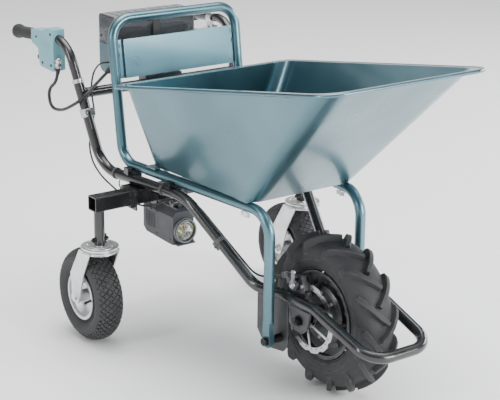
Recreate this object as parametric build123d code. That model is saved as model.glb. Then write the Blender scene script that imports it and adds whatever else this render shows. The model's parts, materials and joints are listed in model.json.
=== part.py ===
from build123d import *
import os
from math import atan2, cos, degrees, hypot, pi, radians, sin, tan

# Battery-powered wheelbarrow: one driven front wheel, two swivel casters, a steel tub on its own tube frame.
# Millimetres. +X forward, +Y left, +Z up, floor at z = 0. The design frame has x = 0 over the front axle.
# Pieces of the right side (negative y) are designed first, the left side is their mirror image.

# ---------------------------------------------------------------- driving dimensions
FRONT_TYRE_DIA = 406.0        # over the lugs
FRONT_TYRE_WIDTH = 104.0
LUG_HEIGHT = 15.0
LUGS_PER_SIDE = 14
RIM_LIP = 12.0                # inner face of the rim's flange, in from the tyre's side
RIM_FLANGE_DIA = 226.0
HUB_DIA = 150.0
HUB_WIDTH = 80.0
ROTOR_DIA = 180.0
ROTOR_THICKNESS = 2.0
ROTOR_OFFSET = 75.0           # rotor's middle plane, right of the wheel's middle plane
AXLE_DIA = 16.0

RAIL_DIA = 28.0               # black frame tube
RAIL_WALL = 1.4
RAIL_Z = 434.0                # centre line of the level run
RAIL_REAR_X = -718.0          # rear lower corner
RAIL_REAR_Y = -232.0
RAIL_KNEE_X = -378.0          # corner where the rail dives to the front axle
RAIL_KNEE_Y = -188.0
RAIL_FOOT_X = -160.0
RAIL_FOOT_Y = -124.0
RAIL_FOOT_Z = 246.0
FRONT_RUN_Y = -100.0          # level run beside the wheel
FRONT_RUN_REAR_X = -75.0
FRONT_RUN_FRONT_X = 50.0
BUMPER_X = 256.0
BUMPER_Y = -92.0
BUMPER_Z = 183.0
UPRIGHT_LEAN = 78.0           # how far the upright leans back over UPRIGHT_RISE
UPRIGHT_SPLAY = 25.0          # how far it leans out over UPRIGHT_RISE
UPRIGHT_RISE = 232.0

HANDLE_WALL = 2.0
HANDLE_RUNNING = 0.1          # radial clearance of the handle tube in the rail
HANDLE_INSERTION = 118.0
NECK_RISE = 106.0             # neck corner above the rail's top end
GRIP_END_X = -1115.0
GRIP_DROP = 22.0              # grip end below the neck corner

PIPE_DIA = 27.0               # teal tub frame tube
PIPE_WALL = 1.6
PIPE_REAR_X = -662.0
PIPE_REAR_Y = -199.0
PIPE_FRONT_X = -76.0
PIPE_FRONT_Y = -143.5
HOOP_TOP_X = -713.0
HOOP_TOP_Z = 839.0
LEG_BOTTOM_Z = 116.0
LEG_BOLT_Z = 132.0
LEG_BOLT_DIA = 12.0

TUB_SHEET = 2.0
TUB_FLOOR_REAR_X = -566.0
TUB_FLOOR_FRONT_X = -128.0
TUB_FLOOR_REAR_HALF = 182.0
TUB_FLOOR_FRONT_HALF = 166.0
RIM_REAR_X = -576.0           # outer edge of the rim
RIM_FRONT_X = 256.0
RIM_REAR_Z = 698.0
RIM_FRONT_Z = 837.0
RIM_REAR_HALF = 284.0
RIM_FRONT_HALF = 245.0
RIM_FLANGE = 17.0
RIM_REAR_CORNER = 32.0
RIM_FRONT_CORNER = 62.0
WALL_REAR_CORNER = 42.0
WALL_FRONT_CORNER = 70.0
RIM_BEAD_DIA = 9.0
STRAP_THICKNESS = 3.0
TUB_BOLT_DIA = 8.0

BEAM_X = -559.0
BEAM_SIZE = 40.0
BEAM_WALL = 3.0
BEAM_HALF_LENGTH = 358.0
BRACKET_SHEET = 2.5

CASTER_Y = -337.7
CASTER_TYRE_DIA = 255.0
CASTER_TYRE_WIDTH = 78.0
CASTER_RIM_DIA = 128.0
CASTER_TRAIL = 54.0
CASTER_PLATE_DIA = 100.0
CASTER_PLATE_THICKNESS = 4.0
FORK_SHEET = 3.5
CASTER_BOLT_DIA = 12.0

BOX_REAR_X = -895.0
BOX_FRONT_X = -808.0
BOX_HALF_WIDTH = 133.0
BOX_SPLIT_Z = 745.0
BOX_TOP_Z = 822.0
BOX_WALL = 3.0

LAMP_REAR_X = -618.0
LAMP_FRONT_X = -472.0
LAMP_NEAR_Y = -165.0
LAMP_WIDTH = 66.0
LAMP_BOTTOM_Z = 270.0
LAMP_TOP_Z = 366.0
LENS_DIA = 56.0

CORD_DIA = 9.0                # control cable
THIN_CABLE_DIA = 5.0
BAND_WALL = 2.0

GAP = 0.3                     # between curved faces that only sit together
PIN_FIT = 0.05                # radial clearance of a turning pin

# ---------------------------------------------------------------- worked-out places
AXLE_Z = FRONT_TYRE_DIA / 2
CASTER_AXLE_Z = CASTER_TYRE_DIA / 2
PIPE_Z = RAIL_Z + RAIL_DIA / 2 + PIPE_DIA / 2
STRAP_Z = PIPE_Z + PIPE_DIA / 2
TUB_FLOOR_Z = STRAP_Z + STRAP_THICKNESS
BEAM_Z = RAIL_Z - RAIL_DIA / 2 - BRACKET_SHEET - BEAM_SIZE / 2
HANDLE_DIA = RAIL_DIA - 2 * RAIL_WALL - 2 * HANDLE_RUNNING

UPRIGHT = Vector(-UPRIGHT_LEAN, -UPRIGHT_SPLAY, UPRIGHT_RISE).normalized()
RAIL_REAR = Vector(RAIL_REAR_X, RAIL_REAR_Y, RAIL_Z)
RAIL_TOP = RAIL_REAR + UPRIGHT * hypot(UPRIGHT_LEAN, UPRIGHT_SPLAY, UPRIGHT_RISE)
NECK = RAIL_TOP + UPRIGHT * (NECK_RISE / UPRIGHT.Z)
GRIP_END = Vector(GRIP_END_X, NECK.Y, NECK.Z - GRIP_DROP)
GRIP_AXIS = (GRIP_END - NECK).normalized()
CROSS_TUBE_AT = RAIL_TOP - UPRIGHT * 36.0
CLAMP_AT = RAIL_TOP - UPRIGHT * 90.0
BOX_BOTTOM_Z = CROSS_TUBE_AT.Z + RAIL_DIA / 2 + 11.0


def on_grip(x, below=0.0):
    """Point on the right grip's centre line at x, or that far below it."""
    share = (x - NECK.X) / (GRIP_END.X - NECK.X)
    return Vector(x, NECK.Y, NECK.Z + share * (GRIP_END.Z - NECK.Z) - below)


def rail_y(x):
    """Side position of the right rail's level run at x."""
    share = (x - RAIL_KNEE_X) / (RAIL_REAR_X - RAIL_KNEE_X)
    return RAIL_KNEE_Y + share * (RAIL_REAR_Y - RAIL_KNEE_Y)


def pipe_y(x):
    """Side position of the right tub-frame pipe at x."""
    share = (x - PIPE_FRONT_X) / (PIPE_REAR_X - PIPE_FRONT_X)
    return PIPE_FRONT_Y + share * (PIPE_REAR_Y - PIPE_FRONT_Y)


# ---------------------------------------------------------------- helpers
def route(points, radii):
    """Straight runs through the points, joined by one tangent arc at each inner point."""
    return FilletPolyline(*points, radius=radii) if radii else Polyline(*points)


def rod_along(path, dia):
    """Solid round bar along a path."""
    return sweep(Plane(origin=path @ 0, z_dir=path % 0) * Circle(dia / 2), path=path)


def tube_along(path, dia, wall):
    """Hollow round tube along a path."""
    return rod_along(path, dia) - rod_along(path, dia - 2 * wall)


def pin(start, end, dia):
    """Cylinder between two points."""
    along = Vector(*end) - Vector(*start)
    middle = (Vector(*end) + Vector(*start)) * 0.5
    return Plane(origin=middle, z_dir=along) * Cylinder(dia / 2, along.length)


def ring(start, end, dia, bore):
    """Hollow cylinder between two points."""
    return pin(start, end, dia) - pin(start, end, bore)


def hexagon(start, end, across):
    """Hexagonal nut or bolt head between two points, measured across its flats."""
    along = Vector(*end) - Vector(*start)
    face = Plane(origin=Vector(*start), z_dir=along) * RegularPolygon(across / 2, 6, major_radius=False)
    return extrude(face, along.length, dir=along.normalized())


def block(low, high):
    """Box between two corners."""
    size = [b - a for a, b in zip(low, high)]
    middle = [(a + b) / 2 for a, b in zip(low, high)]
    return Pos(*middle) * Box(*size)


def turned(outline):
    """Solid of revolution about the Y axis from (radius, y) points; four numbers are an arc's middle and end."""
    edges, here = [], outline[0]
    for step in outline[1:]:
        if len(step) == 4:
            edges.append(ThreePointArc(here, step[:2], step[2:]))
            here = step[2:]
        else:
            edges.append(Line(here, step))
            here = step
    if here != outline[0]:
        edges.append(Line(here, outline[0]))
    return revolve(make_face(edges), axis=Axis.Y)


def mirrored(shape):
    """The left-hand twin of a right-hand piece."""
    return mirror(shape, about=Plane.XZ)


def flipped(point):
    """The left-hand twin of a right-hand point."""
    return Vector(point.X, -point.Y, point.Z)


def side_plane(origin):
    """Plane parallel to XZ whose local x is +X and local y is +Z, seen from the right."""
    return Plane(origin=origin, x_dir=(1, 0, 0), z_dir=(0, -1, 0))


PARTS = {}


def keep(node, *solids):
    """Store the solids of one node."""
    PARTS[node] = list(solids)


# ---------------------------------------------------------------- black frame
def rail_path():
    points = [RAIL_TOP, RAIL_REAR, (RAIL_KNEE_X, RAIL_KNEE_Y, RAIL_Z),
              (RAIL_FOOT_X, RAIL_FOOT_Y, RAIL_FOOT_Z),
              (FRONT_RUN_REAR_X, FRONT_RUN_Y, RAIL_FOOT_Z), (FRONT_RUN_REAR_X + 30, FRONT_RUN_Y, RAIL_FOOT_Z)]
    return route(points, [85, 110, 70, 90])


def bumper_path():
    rear = FRONT_RUN_REAR_X + 30
    half = [(rear, FRONT_RUN_Y, RAIL_FOOT_Z), (FRONT_RUN_FRONT_X, FRONT_RUN_Y, RAIL_FOOT_Z),
            (BUMPER_X, BUMPER_Y, BUMPER_Z)]
    return route(half + [(x, -y, z) for x, y, z in reversed(half)], [80, 58, 58, 80])


def make_rails():
    rail = tube_along(rail_path(), RAIL_DIA, RAIL_WALL)
    keep("frame_rail_right", rail)
    keep("frame_rail_left", mirrored(rail))
    keep("front_bumper", tube_along(bumper_path(), RAIL_DIA, RAIL_WALL))


def make_leg_brackets():
    """Round-ended plates under the rails that carry the tub frame's legs."""
    run = Vector(FRONT_RUN_REAR_X - RAIL_FOOT_X, FRONT_RUN_Y - RAIL_FOOT_Y, 0).normalized()
    rear_x, front_x, thickness = PIPE_FRONT_X - 74, PIPE_FRONT_X + 22, 5.0
    start = Vector(RAIL_FOOT_X, RAIL_FOOT_Y, 0) + run * (rear_x - RAIL_FOOT_X)
    plane = Plane(origin=start, x_dir=run, z_dir=run.cross(Vector(0, 0, 1)))
    width, low, high = front_x - rear_x, LEG_BOLT_Z - 38, RAIL_FOOT_Z - 4
    outline = Polyline((0, high), (0, low + 44), (22, low + 6), (40, low), (width - 14, low),
                       (width, low + 16),
                       (width, high), close=True)
    plate = extrude(plane * make_face(outline), thickness / 2, both=True)
    plate -= rod_along(rail_path(), RAIL_DIA)
    plate -= pin((PIPE_FRONT_X, -300, LEG_BOLT_Z), (PIPE_FRONT_X, 0, LEG_BOLT_Z), LEG_BOLT_DIA + 0.6)
    keep("frame_plates", plate, mirrored(plate))


def make_dropouts():
    """Plates under the front run that hold the wheel axle."""
    outline = Polyline((-44, 38), (-30, -14), (-14, -30), (14, -30), (30, -14), (44, 38), close=True)
    plane = side_plane((0, FRONT_RUN_Y - 6, AXLE_Z))
    plate = extrude(plane * make_face(outline), 3, both=True)
    plate -= pin((-60, FRONT_RUN_Y, RAIL_FOOT_Z), (0, FRONT_RUN_Y, RAIL_FOOT_Z), RAIL_DIA)
    plate -= rod_along(bumper_path(), RAIL_DIA)
    plate -= pin((0, -200, AXLE_Z), (0, 0, AXLE_Z), AXLE_DIA - 2)
    PARTS["frame_plates"] += [plate, mirrored(plate)]


def make_cross_tube():
    """Tube between the two uprights, coped onto them."""
    reach = -CROSS_TUBE_AT.Y
    bar = ring((CROSS_TUBE_AT.X, -reach, CROSS_TUBE_AT.Z), (CROSS_TUBE_AT.X, reach, CROSS_TUBE_AT.Z),
               RAIL_DIA,
               RAIL_DIA - 2 * RAIL_WALL)
    bar -= pin(RAIL_REAR, RAIL_TOP, RAIL_DIA)
    bar -= pin(flipped(RAIL_REAR), flipped(RAIL_TOP), RAIL_DIA)
    keep("handle_cross_tube", bar)


# ---------------------------------------------------------------- tub frame
def hoop_line(z):
    """Point on the right hoop upright's centre line at height z."""
    share = (z - PIPE_Z) / (HOOP_TOP_Z - PIPE_Z)
    return Vector(PIPE_REAR_X + share * (HOOP_TOP_X - PIPE_REAR_X), PIPE_REAR_Y, z)


HOOP_JOINT = hoop_line(PIPE_Z + 85)
HOOP_LEAN = degrees(atan2(PIPE_REAR_X - HOOP_TOP_X, HOOP_TOP_Z - PIPE_Z))


def make_tub_frame():
    top = Vector(HOOP_TOP_X, PIPE_REAR_Y, HOOP_TOP_Z)
    left = [Vector(p.X, -p.Y, p.Z) for p in (top, HOOP_JOINT)]
    hoop = tube_along(route([HOOP_JOINT, top] + left, [56, 56]), PIPE_DIA, PIPE_WALL)
    keep("tub_hoop", hoop)

    sleeve_z = LEG_BOLT_Z + 50
    path = route([HOOP_JOINT, (PIPE_REAR_X, PIPE_REAR_Y, PIPE_Z), (PIPE_FRONT_X, PIPE_FRONT_Y, PIPE_Z),
                  (PIPE_FRONT_X, PIPE_FRONT_Y, sleeve_z)], [58, 62])
    side = tube_along(path, PIPE_DIA, PIPE_WALL)
    shoe = block((PIPE_FRONT_X - PIPE_DIA / 2, PIPE_FRONT_Y - 8, LEG_BOTTOM_Z),
                 (PIPE_FRONT_X + PIPE_DIA / 2, PIPE_FRONT_Y + 8, sleeve_z))
    shoe = fillet(shoe.edges().filter_by(Axis.Y).group_by(Axis.Z)[0], 8)
    shoe -= pin((PIPE_FRONT_X, PIPE_FRONT_Y - 20, LEG_BOLT_Z), (PIPE_FRONT_X, PIPE_FRONT_Y + 20, LEG_BOLT_Z),
                LEG_BOLT_DIA + 0.6)
    side = side + shoe
    x, y = STRAP_FRONT_X, pipe_y(STRAP_FRONT_X)
    side -= pin((x, y, PIPE_Z - 40), (x, y, PIPE_Z + 40), TUB_BOLT_DIA + 0.6)
    keep("tub_tube_right", side)
    keep("tub_tube_left", mirrored(side))


STRAP_REAR_X = TUB_FLOOR_REAR_X + 40
STRAP_FRONT_X = TUB_FLOOR_FRONT_X - 38


def tub_bolt_places():
    """Right-hand tub bolts (x, y, height under the nut): the rear one through the strap, the front one the pipe."""
    rear = (STRAP_REAR_X, pipe_y(STRAP_REAR_X) + 34, STRAP_Z)
    front = (STRAP_FRONT_X, pipe_y(STRAP_FRONT_X), PIPE_Z - PIPE_DIA / 2)
    return rear, front


def make_back_panel():
    """Folded sheet across the hoop, its middle set forward of the welded edge strips."""
    low, high, sheet, step, strip = 682.0, 784.0, 1.6, 7.0, 15.0
    foot = hoop_line(low)
    plane = Plane(origin=(foot.X, 0, low), x_dir=(0, 1, 0), z_dir=(hoop_line(high) - foot).normalized())
    edge = -PIPE_REAR_Y - PIPE_DIA / 2
    fold = edge - strip
    height = (high - low) / cos(radians(HOOP_LEAN))
    centre = Pos(0, -step) * Rectangle(2 * fold, sheet)
    sides = [Pos(s * (fold + edge) / 2, 0) * Rectangle(strip, sheet) for s in (-1, 1)]
    webs = [Pos(s * fold, -step / 2) * Rectangle(sheet, step + sheet) for s in (-1, 1)]
    panel = extrude(plane * (centre + sides + webs), height)
    lip = extrude(plane.offset(height - sheet) * (Pos(0, -step / 2 + 3) * Rectangle(2 * fold, step + 6)),
                  sheet)
    keep("back_panel", panel + lip)


# ---------------------------------------------------------------- tub
RIM_SLOPE = atan2(RIM_FRONT_Z - RIM_REAR_Z, RIM_FRONT_X - RIM_REAR_X)
RIM_PLANE = Plane(origin=(RIM_REAR_X, 0, RIM_REAR_Z), x_dir=(cos(RIM_SLOPE), 0, sin(RIM_SLOPE)),
                  z_dir=(-sin(RIM_SLOPE), 0, cos(RIM_SLOPE)))
RIM_LENGTH = (RIM_FRONT_X - RIM_REAR_X) / cos(RIM_SLOPE)


def trapezoid(plane, rear, front, rear_half, front_half, rear_radius, front_radius, inset=0.0):
    """Tapering outline with rounded corners; inset moves every side inward."""
    rear, front = rear + inset, front - inset
    rear_half, front_half = rear_half - inset, front_half - inset
    shape = make_face(Polyline((rear, -rear_half), (front, -front_half), (front, front_half),
                               (rear, rear_half),
                               close=True))
    corners = shape.vertices().sort_by(Axis.X)
    shape = fillet(corners[:2], rear_radius - inset)
    shape = fillet([v for v in shape.vertices() if abs(v.X - front) < 1e-6], front_radius - inset)
    return plane * shape


def floor_outline(inset=0.0, lift=0.0):
    return trapezoid(Plane.XY.offset(TUB_FLOOR_Z + lift), TUB_FLOOR_REAR_X, TUB_FLOOR_FRONT_X,
                     TUB_FLOOR_REAR_HALF,
                     TUB_FLOOR_FRONT_HALF, 48, 40, inset)


def rim_outline():
    """Outer edge of the rim's flange."""
    return trapezoid(RIM_PLANE, 0, RIM_LENGTH, RIM_REAR_HALF, RIM_FRONT_HALF, RIM_REAR_CORNER,
                     RIM_FRONT_CORNER)


def wall_outline(inset=0.0):
    """Where the walls meet the rim."""
    return trapezoid(RIM_PLANE, RIM_FLANGE, RIM_LENGTH - RIM_FLANGE, RIM_REAR_HALF - RIM_FLANGE,
                     RIM_FRONT_HALF - RIM_FLANGE, WALL_REAR_CORNER, WALL_FRONT_CORNER, inset)


def make_tub():
    outer = loft([floor_outline(), wall_outline()], ruled=True)
    inner = loft([floor_outline(TUB_SHEET, TUB_SHEET), wall_outline(TUB_SHEET)], ruled=True)
    flange = extrude(rim_outline(), TUB_SHEET, dir=-RIM_PLANE.z_dir)
    flange -= extrude(wall_outline(TUB_SHEET), 2 * TUB_SHEET, both=True)
    edge = rim_outline().face().outer_wire()
    bead = sweep(Plane(origin=edge @ 0, z_dir=edge % 0) * Circle(RIM_BEAD_DIA / 2), path=edge,
                 transition=Transition.ROUND)
    tub = outer - inner + flange + Pos(0, 0, -RIM_BEAD_DIA / 2 + TUB_SHEET / 2) * bead
    for x, side, _ in tub_bolt_places():
        for y in (side, -side):
            tub -= pin((x, y, TUB_FLOOR_Z - 5), (x, y, TUB_FLOOR_Z + 10), TUB_BOLT_DIA + 0.6)
    keep("tub", tub)


def make_tub_straps():
    """Flat bars across the pipes, under the tub floor."""
    straps = []
    for x, side, _ in tub_bolt_places():
        half = -pipe_y(x) + 12
        bar = block((x - 20, -half, STRAP_Z), (x + 20, half, TUB_FLOOR_Z))
        for y in (side, -side):
            bar -= pin((x, y, STRAP_Z - 5), (x, y, STRAP_Z + 10), TUB_BOLT_DIA + 0.6)
        straps.append(bar)
    keep("tub_straps", *straps)


def make_tub_bolts():
    """Round-headed bolts through the tub's floor, each with a winged nut below."""
    solids = []
    floor_top = TUB_FLOOR_Z + TUB_SHEET
    for x, y, under in tub_bolt_places():
        shank = pin((x, y, under - 16), (x, y, floor_top + 0.5), TUB_BOLT_DIA)
        head = pin((x, y, floor_top), (x, y, floor_top + 4), 20)
        nut = pin((x, y, under - 10), (x, y, under), 12)
        wings = block((x - 16, y - 2, under - 14), (x + 16, y + 2, under - 4))
        bolt = shank + head + nut + wings
        solids += [bolt, mirrored(bolt)]
    keep("tub_bolts", *solids)


def make_leg_bolts():
    """Bolts through the leg shoes, their spacers and the bracket plates."""
    run = Vector(FRONT_RUN_REAR_X - RAIL_FOOT_X, FRONT_RUN_Y - RAIL_FOOT_Y, 0).normalized()
    plate_y = RAIL_FOOT_Y + (PIPE_FRONT_X - RAIL_FOOT_X) * run.Y / run.X
    shoe_outer, shoe_inner = PIPE_FRONT_Y - 8, PIPE_FRONT_Y + 8
    x, z = PIPE_FRONT_X, LEG_BOLT_Z
    bolt = pin((x, shoe_outer - 9, z), (x, plate_y + 16, z), LEG_BOLT_DIA)
    bolt += hexagon((x, shoe_outer - 9, z), (x, shoe_outer - 1.5, z), 19)
    bolt += pin((x, shoe_outer - 1.5, z), (x, shoe_outer, z), 26)
    bolt += hexagon((x, plate_y + 6.2, z), (x, plate_y + 15, z), 19)
    bolt += pin((x, shoe_inner, z), (x, plate_y - 6.2, z), 22)
    keep("frame_fasteners", bolt, mirrored(bolt))


def make_saddles():
    """Clamp blocks that hold the tub frame's pipes on the rails."""
    solids = []
    for x in (-604.0, -436.0):
        low_y = min(rail_y(x), pipe_y(x)) - 10
        high_y = max(rail_y(x), pipe_y(x)) + 10
        clamp = block((x - 11, low_y, RAIL_Z), (x + 11, high_y, PIPE_Z))
        clamp -= rod_along(Line((x - 30, rail_y(x - 30), RAIL_Z), (x + 30, rail_y(x + 30), RAIL_Z)), RAIL_DIA)
        clamp -= rod_along(Line((x - 30, pipe_y(x - 30), PIPE_Z), (x + 30, pipe_y(x + 30), PIPE_Z)), PIPE_DIA)
        solids += [clamp.solids().sort_by(SortBy.VOLUME)[-1]]
    keep("pipe_saddles", *solids, *[mirrored(s) for s in solids])


# ---------------------------------------------------------------- rear beam and casters
def make_beam():
    outer = block((BEAM_X - BEAM_SIZE / 2, -BEAM_HALF_LENGTH, BEAM_Z - BEAM_SIZE / 2),
                  (BEAM_X + BEAM_SIZE / 2, BEAM_HALF_LENGTH, BEAM_Z + BEAM_SIZE / 2))
    outer = fillet(outer.edges().filter_by(Axis.Y), 4)
    bore = BEAM_SIZE / 2 - BEAM_WALL
    beam = outer - block((BEAM_X - bore, -BEAM_HALF_LENGTH - 1, BEAM_Z - bore),
                         (BEAM_X + bore, BEAM_HALF_LENGTH + 1, BEAM_Z + bore))
    keep("outrigger_beam", beam)

    side = rail_y(BEAM_X)
    half = BEAM_SIZE / 2 + GAP
    top = BEAM_Z + BEAM_SIZE / 2
    outer_plate = block((BEAM_X - 37, side - 36, BEAM_Z - 30), (BEAM_X + 37, side - 32, top + BRACKET_SHEET))
    inner_plate = block((BEAM_X - 37, side + 28, BEAM_Z - 30), (BEAM_X + 37, side + 32, top + BRACKET_SHEET))
    plates = outer_plate + inner_plate
    plates -= block((BEAM_X - half, side - 60, BEAM_Z - half), (BEAM_X + half, side + 60, top))
    roof = block((BEAM_X - 37, side - 36, top), (BEAM_X + 37, side + 32, top + BRACKET_SHEET))
    collar = block((BEAM_X - half - 4, side - 44, BEAM_Z - half - 4),
                   (BEAM_X + half + 4, side - 36, top + 1.5))
    collar -= block((BEAM_X - half, side - 60, BEAM_Z - half), (BEAM_X + half, side + 60, top))
    bracket = plates + roof + collar
    keep("beam_brackets", bracket, mirrored(bracket))


PLATE_TOP_Z = CASTER_AXLE_Z + 152.0
STEM_TOP_Z = BEAM_Z - BEAM_SIZE / 2
STEM_BOTTOM_Z = PLATE_TOP_Z + 2.0
STEM_BOLT_Z = PLATE_TOP_Z + 17.0
FORK_TOP_Z = PLATE_TOP_Z - CASTER_PLATE_THICKNESS - 7.0


def make_caster_stems():
    stem = ring((BEAM_X, CASTER_Y, STEM_BOTTOM_Z), (BEAM_X, CASTER_Y, STEM_TOP_Z), RAIL_DIA,
                RAIL_DIA - 2 * RAIL_WALL)
    stem -= pin((BEAM_X, CASTER_Y - 40, STEM_BOLT_Z), (BEAM_X, CASTER_Y + 40, STEM_BOLT_Z), 8.4)
    keep("caster_stems", stem, mirrored(stem))

    spigot_dia = RAIL_DIA - 2 * RAIL_WALL - 2 * HANDLE_RUNNING
    plate = pin((BEAM_X, CASTER_Y, PLATE_TOP_Z - CASTER_PLATE_THICKNESS), (BEAM_X, CASTER_Y, PLATE_TOP_Z),
                CASTER_PLATE_DIA)
    plate += pin((BEAM_X, CASTER_Y, PLATE_TOP_Z - 1), (BEAM_X, CASTER_Y, PLATE_TOP_Z + 60), spigot_dia)
    plate -= pin((BEAM_X, CASTER_Y - 40, STEM_BOLT_Z), (BEAM_X, CASTER_Y + 40, STEM_BOLT_Z), 8.4)
    plate += pin((BEAM_X, CASTER_Y, FORK_TOP_Z - 14), (BEAM_X, CASTER_Y, PLATE_TOP_Z), CASTER_BOLT_DIA)
    nut = hexagon((BEAM_X, CASTER_Y, FORK_TOP_Z - 14), (BEAM_X, CASTER_Y, FORK_TOP_Z - 7), 19)
    race = ring((BEAM_X, CASTER_Y, FORK_TOP_Z + GAP),
                (BEAM_X, CASTER_Y, PLATE_TOP_Z - CASTER_PLATE_THICKNESS), 76, 56)
    plate = plate + nut + race
    keep("caster_plates", plate, mirrored(plate))

    bolt = pin((BEAM_X, CASTER_Y - 24, STEM_BOLT_Z), (BEAM_X, CASTER_Y + 26, STEM_BOLT_Z), 8)
    head = hexagon((BEAM_X, CASTER_Y - 20, STEM_BOLT_Z), (BEAM_X, CASTER_Y - 14.2, STEM_BOLT_Z), 13)
    nut = hexagon((BEAM_X, CASTER_Y + 14.2, STEM_BOLT_Z), (BEAM_X, CASTER_Y + 21, STEM_BOLT_Z), 13)
    wings = block((BEAM_X - 2, CASTER_Y + 15, STEM_BOLT_Z - 13),
                  (BEAM_X + 2, CASTER_Y + 20, STEM_BOLT_Z + 13))
    bolt = bolt + head + nut + wings
    PARTS["frame_fasteners"] += [bolt, mirrored(bolt)]


def make_caster():
    """Swivelling fork with its wheel, trailing behind the stem."""
    axle_x = BEAM_X - CASTER_TRAIL
    crown_bottom = FORK_TOP_Z - FORK_SHEET
    crown = pin((BEAM_X, CASTER_Y, crown_bottom), (BEAM_X, CASTER_Y, FORK_TOP_Z), CASTER_PLATE_DIA - 6)
    inner_face = CASTER_TYRE_WIDTH / 2 + 3.5
    plane = side_plane((0, CASTER_Y, 0))
    arm = Polyline((BEAM_X - 30, FORK_TOP_Z), (axle_x - 26, CASTER_AXLE_Z + 62), (axle_x - 19, CASTER_AXLE_Z),
                   (axle_x - 10, CASTER_AXLE_Z - 18), (axle_x + 10, CASTER_AXLE_Z - 18), (axle_x + 19,
                                                                                          CASTER_AXLE_Z),
                   (BEAM_X - 14, CASTER_AXLE_Z + 66), (BEAM_X + 26, FORK_TOP_Z), close=True)
    arms = extrude(plane * make_face(arm), inner_face + FORK_SHEET, both=True)
    arms -= block((axle_x - 90, CASTER_Y - inner_face, 0), (BEAM_X + 60, CASTER_Y + inner_face, crown_bottom))
    arms -= block((axle_x - 90, CASTER_Y - inner_face + 8, 0),
                  (BEAM_X + 60, CASTER_Y + inner_face - 8, FORK_TOP_Z + 1))
    fork = crown + arms
    fork -= pin((BEAM_X, CASTER_Y, crown_bottom - 5), (BEAM_X, CASTER_Y, FORK_TOP_Z + 5),
                CASTER_BOLT_DIA + 2 * PIN_FIT)
    fork -= pin((axle_x, CASTER_Y - 80, CASTER_AXLE_Z), (axle_x, CASTER_Y + 80, CASTER_AXLE_Z),
                CASTER_BOLT_DIA)
    keep("caster_fork_right", fork)
    keep("caster_fork_left", mirrored(fork))

    outer = inner_face + FORK_SHEET
    bolt = pin((axle_x, CASTER_Y - outer - 8, CASTER_AXLE_Z), (axle_x, CASTER_Y + outer + 12, CASTER_AXLE_Z),
               CASTER_BOLT_DIA)
    bolt += hexagon((axle_x, CASTER_Y - outer - 8, CASTER_AXLE_Z),
                    (axle_x, CASTER_Y - outer, CASTER_AXLE_Z), 19)
    bolt += hexagon((axle_x, CASTER_Y + outer, CASTER_AXLE_Z),
                    (axle_x, CASTER_Y + outer + 9, CASTER_AXLE_Z), 19)
    keep("caster_axle_right", bolt)
    keep("caster_axle_left", mirrored(bolt))

    half, radius, bead = CASTER_TYRE_WIDTH / 2, CASTER_AXLE_Z, CASTER_RIM_DIA / 2
    mid = (radius + bead) / 2
    edge, lip = half - 8 - GAP, bead + 4
    tyre = turned([(bead - 2, -edge), (lip, -edge), (mid, -half, radius - 10, -half + 12),
                   (radius, 0, radius - 10, half - 12),
                   (mid, half, lip, edge), (bead - 2, edge), (bead - 2, edge - 6), (lip, edge - 6),
                   (mid, half - 7, radius - 16, half - 20), (radius - 8, 0, radius - 16, -half + 20),
                   (mid, -half + 7, lip, -edge + 6), (bead - 2, -edge + 6)])
    rim = turned([(bead + 2, -half + 6), (bead + 2, -half + 8), (bead - 3, -half + 8), (bead - 3, -half + 16),
                  (bead - 12, -14), (bead - 12, 14), (bead - 3, half - 16), (bead - 3, half - 8),
                  (bead + 2, half - 8), (bead + 2, half - 6), (bead - 6, half - 6), (bead - 6, half - 15),
                  (bead - 15, 12), (16, 12), (16, inner_face - 1), (CASTER_BOLT_DIA / 2 + PIN_FIT,
                                                                    inner_face - 1),
                  (CASTER_BOLT_DIA / 2 + PIN_FIT, -inner_face + 1), (16, -inner_face + 1), (16, -12),
                  (bead - 15, -12), (bead - 6, -half + 15), (bead - 6, -half + 6)])
    place = Pos(axle_x, CASTER_Y, CASTER_AXLE_Z)
    keep("caster_tyre_right", place * tyre)
    keep("caster_tyre_left", mirrored(place * tyre))
    keep("caster_rim_right", place * rim)
    keep("caster_rim_left", mirrored(place * rim))


# ---------------------------------------------------------------- driven front wheel
def make_front_tyre():
    radius = FRONT_TYRE_DIA / 2
    tread = radius - LUG_HEIGHT
    half = FRONT_TYRE_WIDTH / 2
    bead = RIM_FLANGE_DIA / 2 - 6
    mid = (tread + bead) / 2
    edge, lip = half - RIM_LIP - GAP, RIM_FLANGE_DIA / 2 + 2
    skin = turned([(bead, -edge), (lip, -edge), (mid, -half + 1, tread - 4, -half + 22),
                   (tread, 0, tread - 4, half - 22),
                   (mid, half - 1, lip, edge), (bead, edge)])
    cavity = turned([(bead - 1, -edge + 8), (lip, -edge + 8), (mid, -half + 9, tread - 13, -half + 28),
                     (tread - 9, 0, tread - 13, half - 28), (mid, half - 9, lip, edge - 8), (bead - 1,
                                                                                             edge - 8)])
    envelope = turned([(bead, -half), (radius - 30, -half), (radius - 4, -half + 3), (radius, -half + 10),
                       (radius, half - 10), (radius - 4, half - 3), (radius - 30, half), (bead, half)])
    lug = Polyline((-4, 2), (11, 2), (24, 28), (24, half + 4), (-2, half + 4), (-2, 34), (-12, 10),
                   close=True)
    low, high = radius - 36, radius + 4
    bar = extrude(Plane(origin=(0, 0, low), x_dir=(1, 0, 0), z_dir=(0, 0, 1)) * make_face(lug), high - low)
    bar = bar & envelope
    twin = mirror(bar, about=Plane.XZ)
    pitch = 360 / LUGS_PER_SIDE
    bars = [Rot(0, i * pitch, 0) * bar for i in range(LUGS_PER_SIDE)]
    bars += [Rot(0, (i + 0.5) * pitch, 0) * twin for i in range(LUGS_PER_SIDE)]
    tyre = skin + bars - cavity
    keep("front_tyre", Pos(0, 0, AXLE_Z) * Rot(0, -90 + pitch / 4, 0) * tyre)


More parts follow.
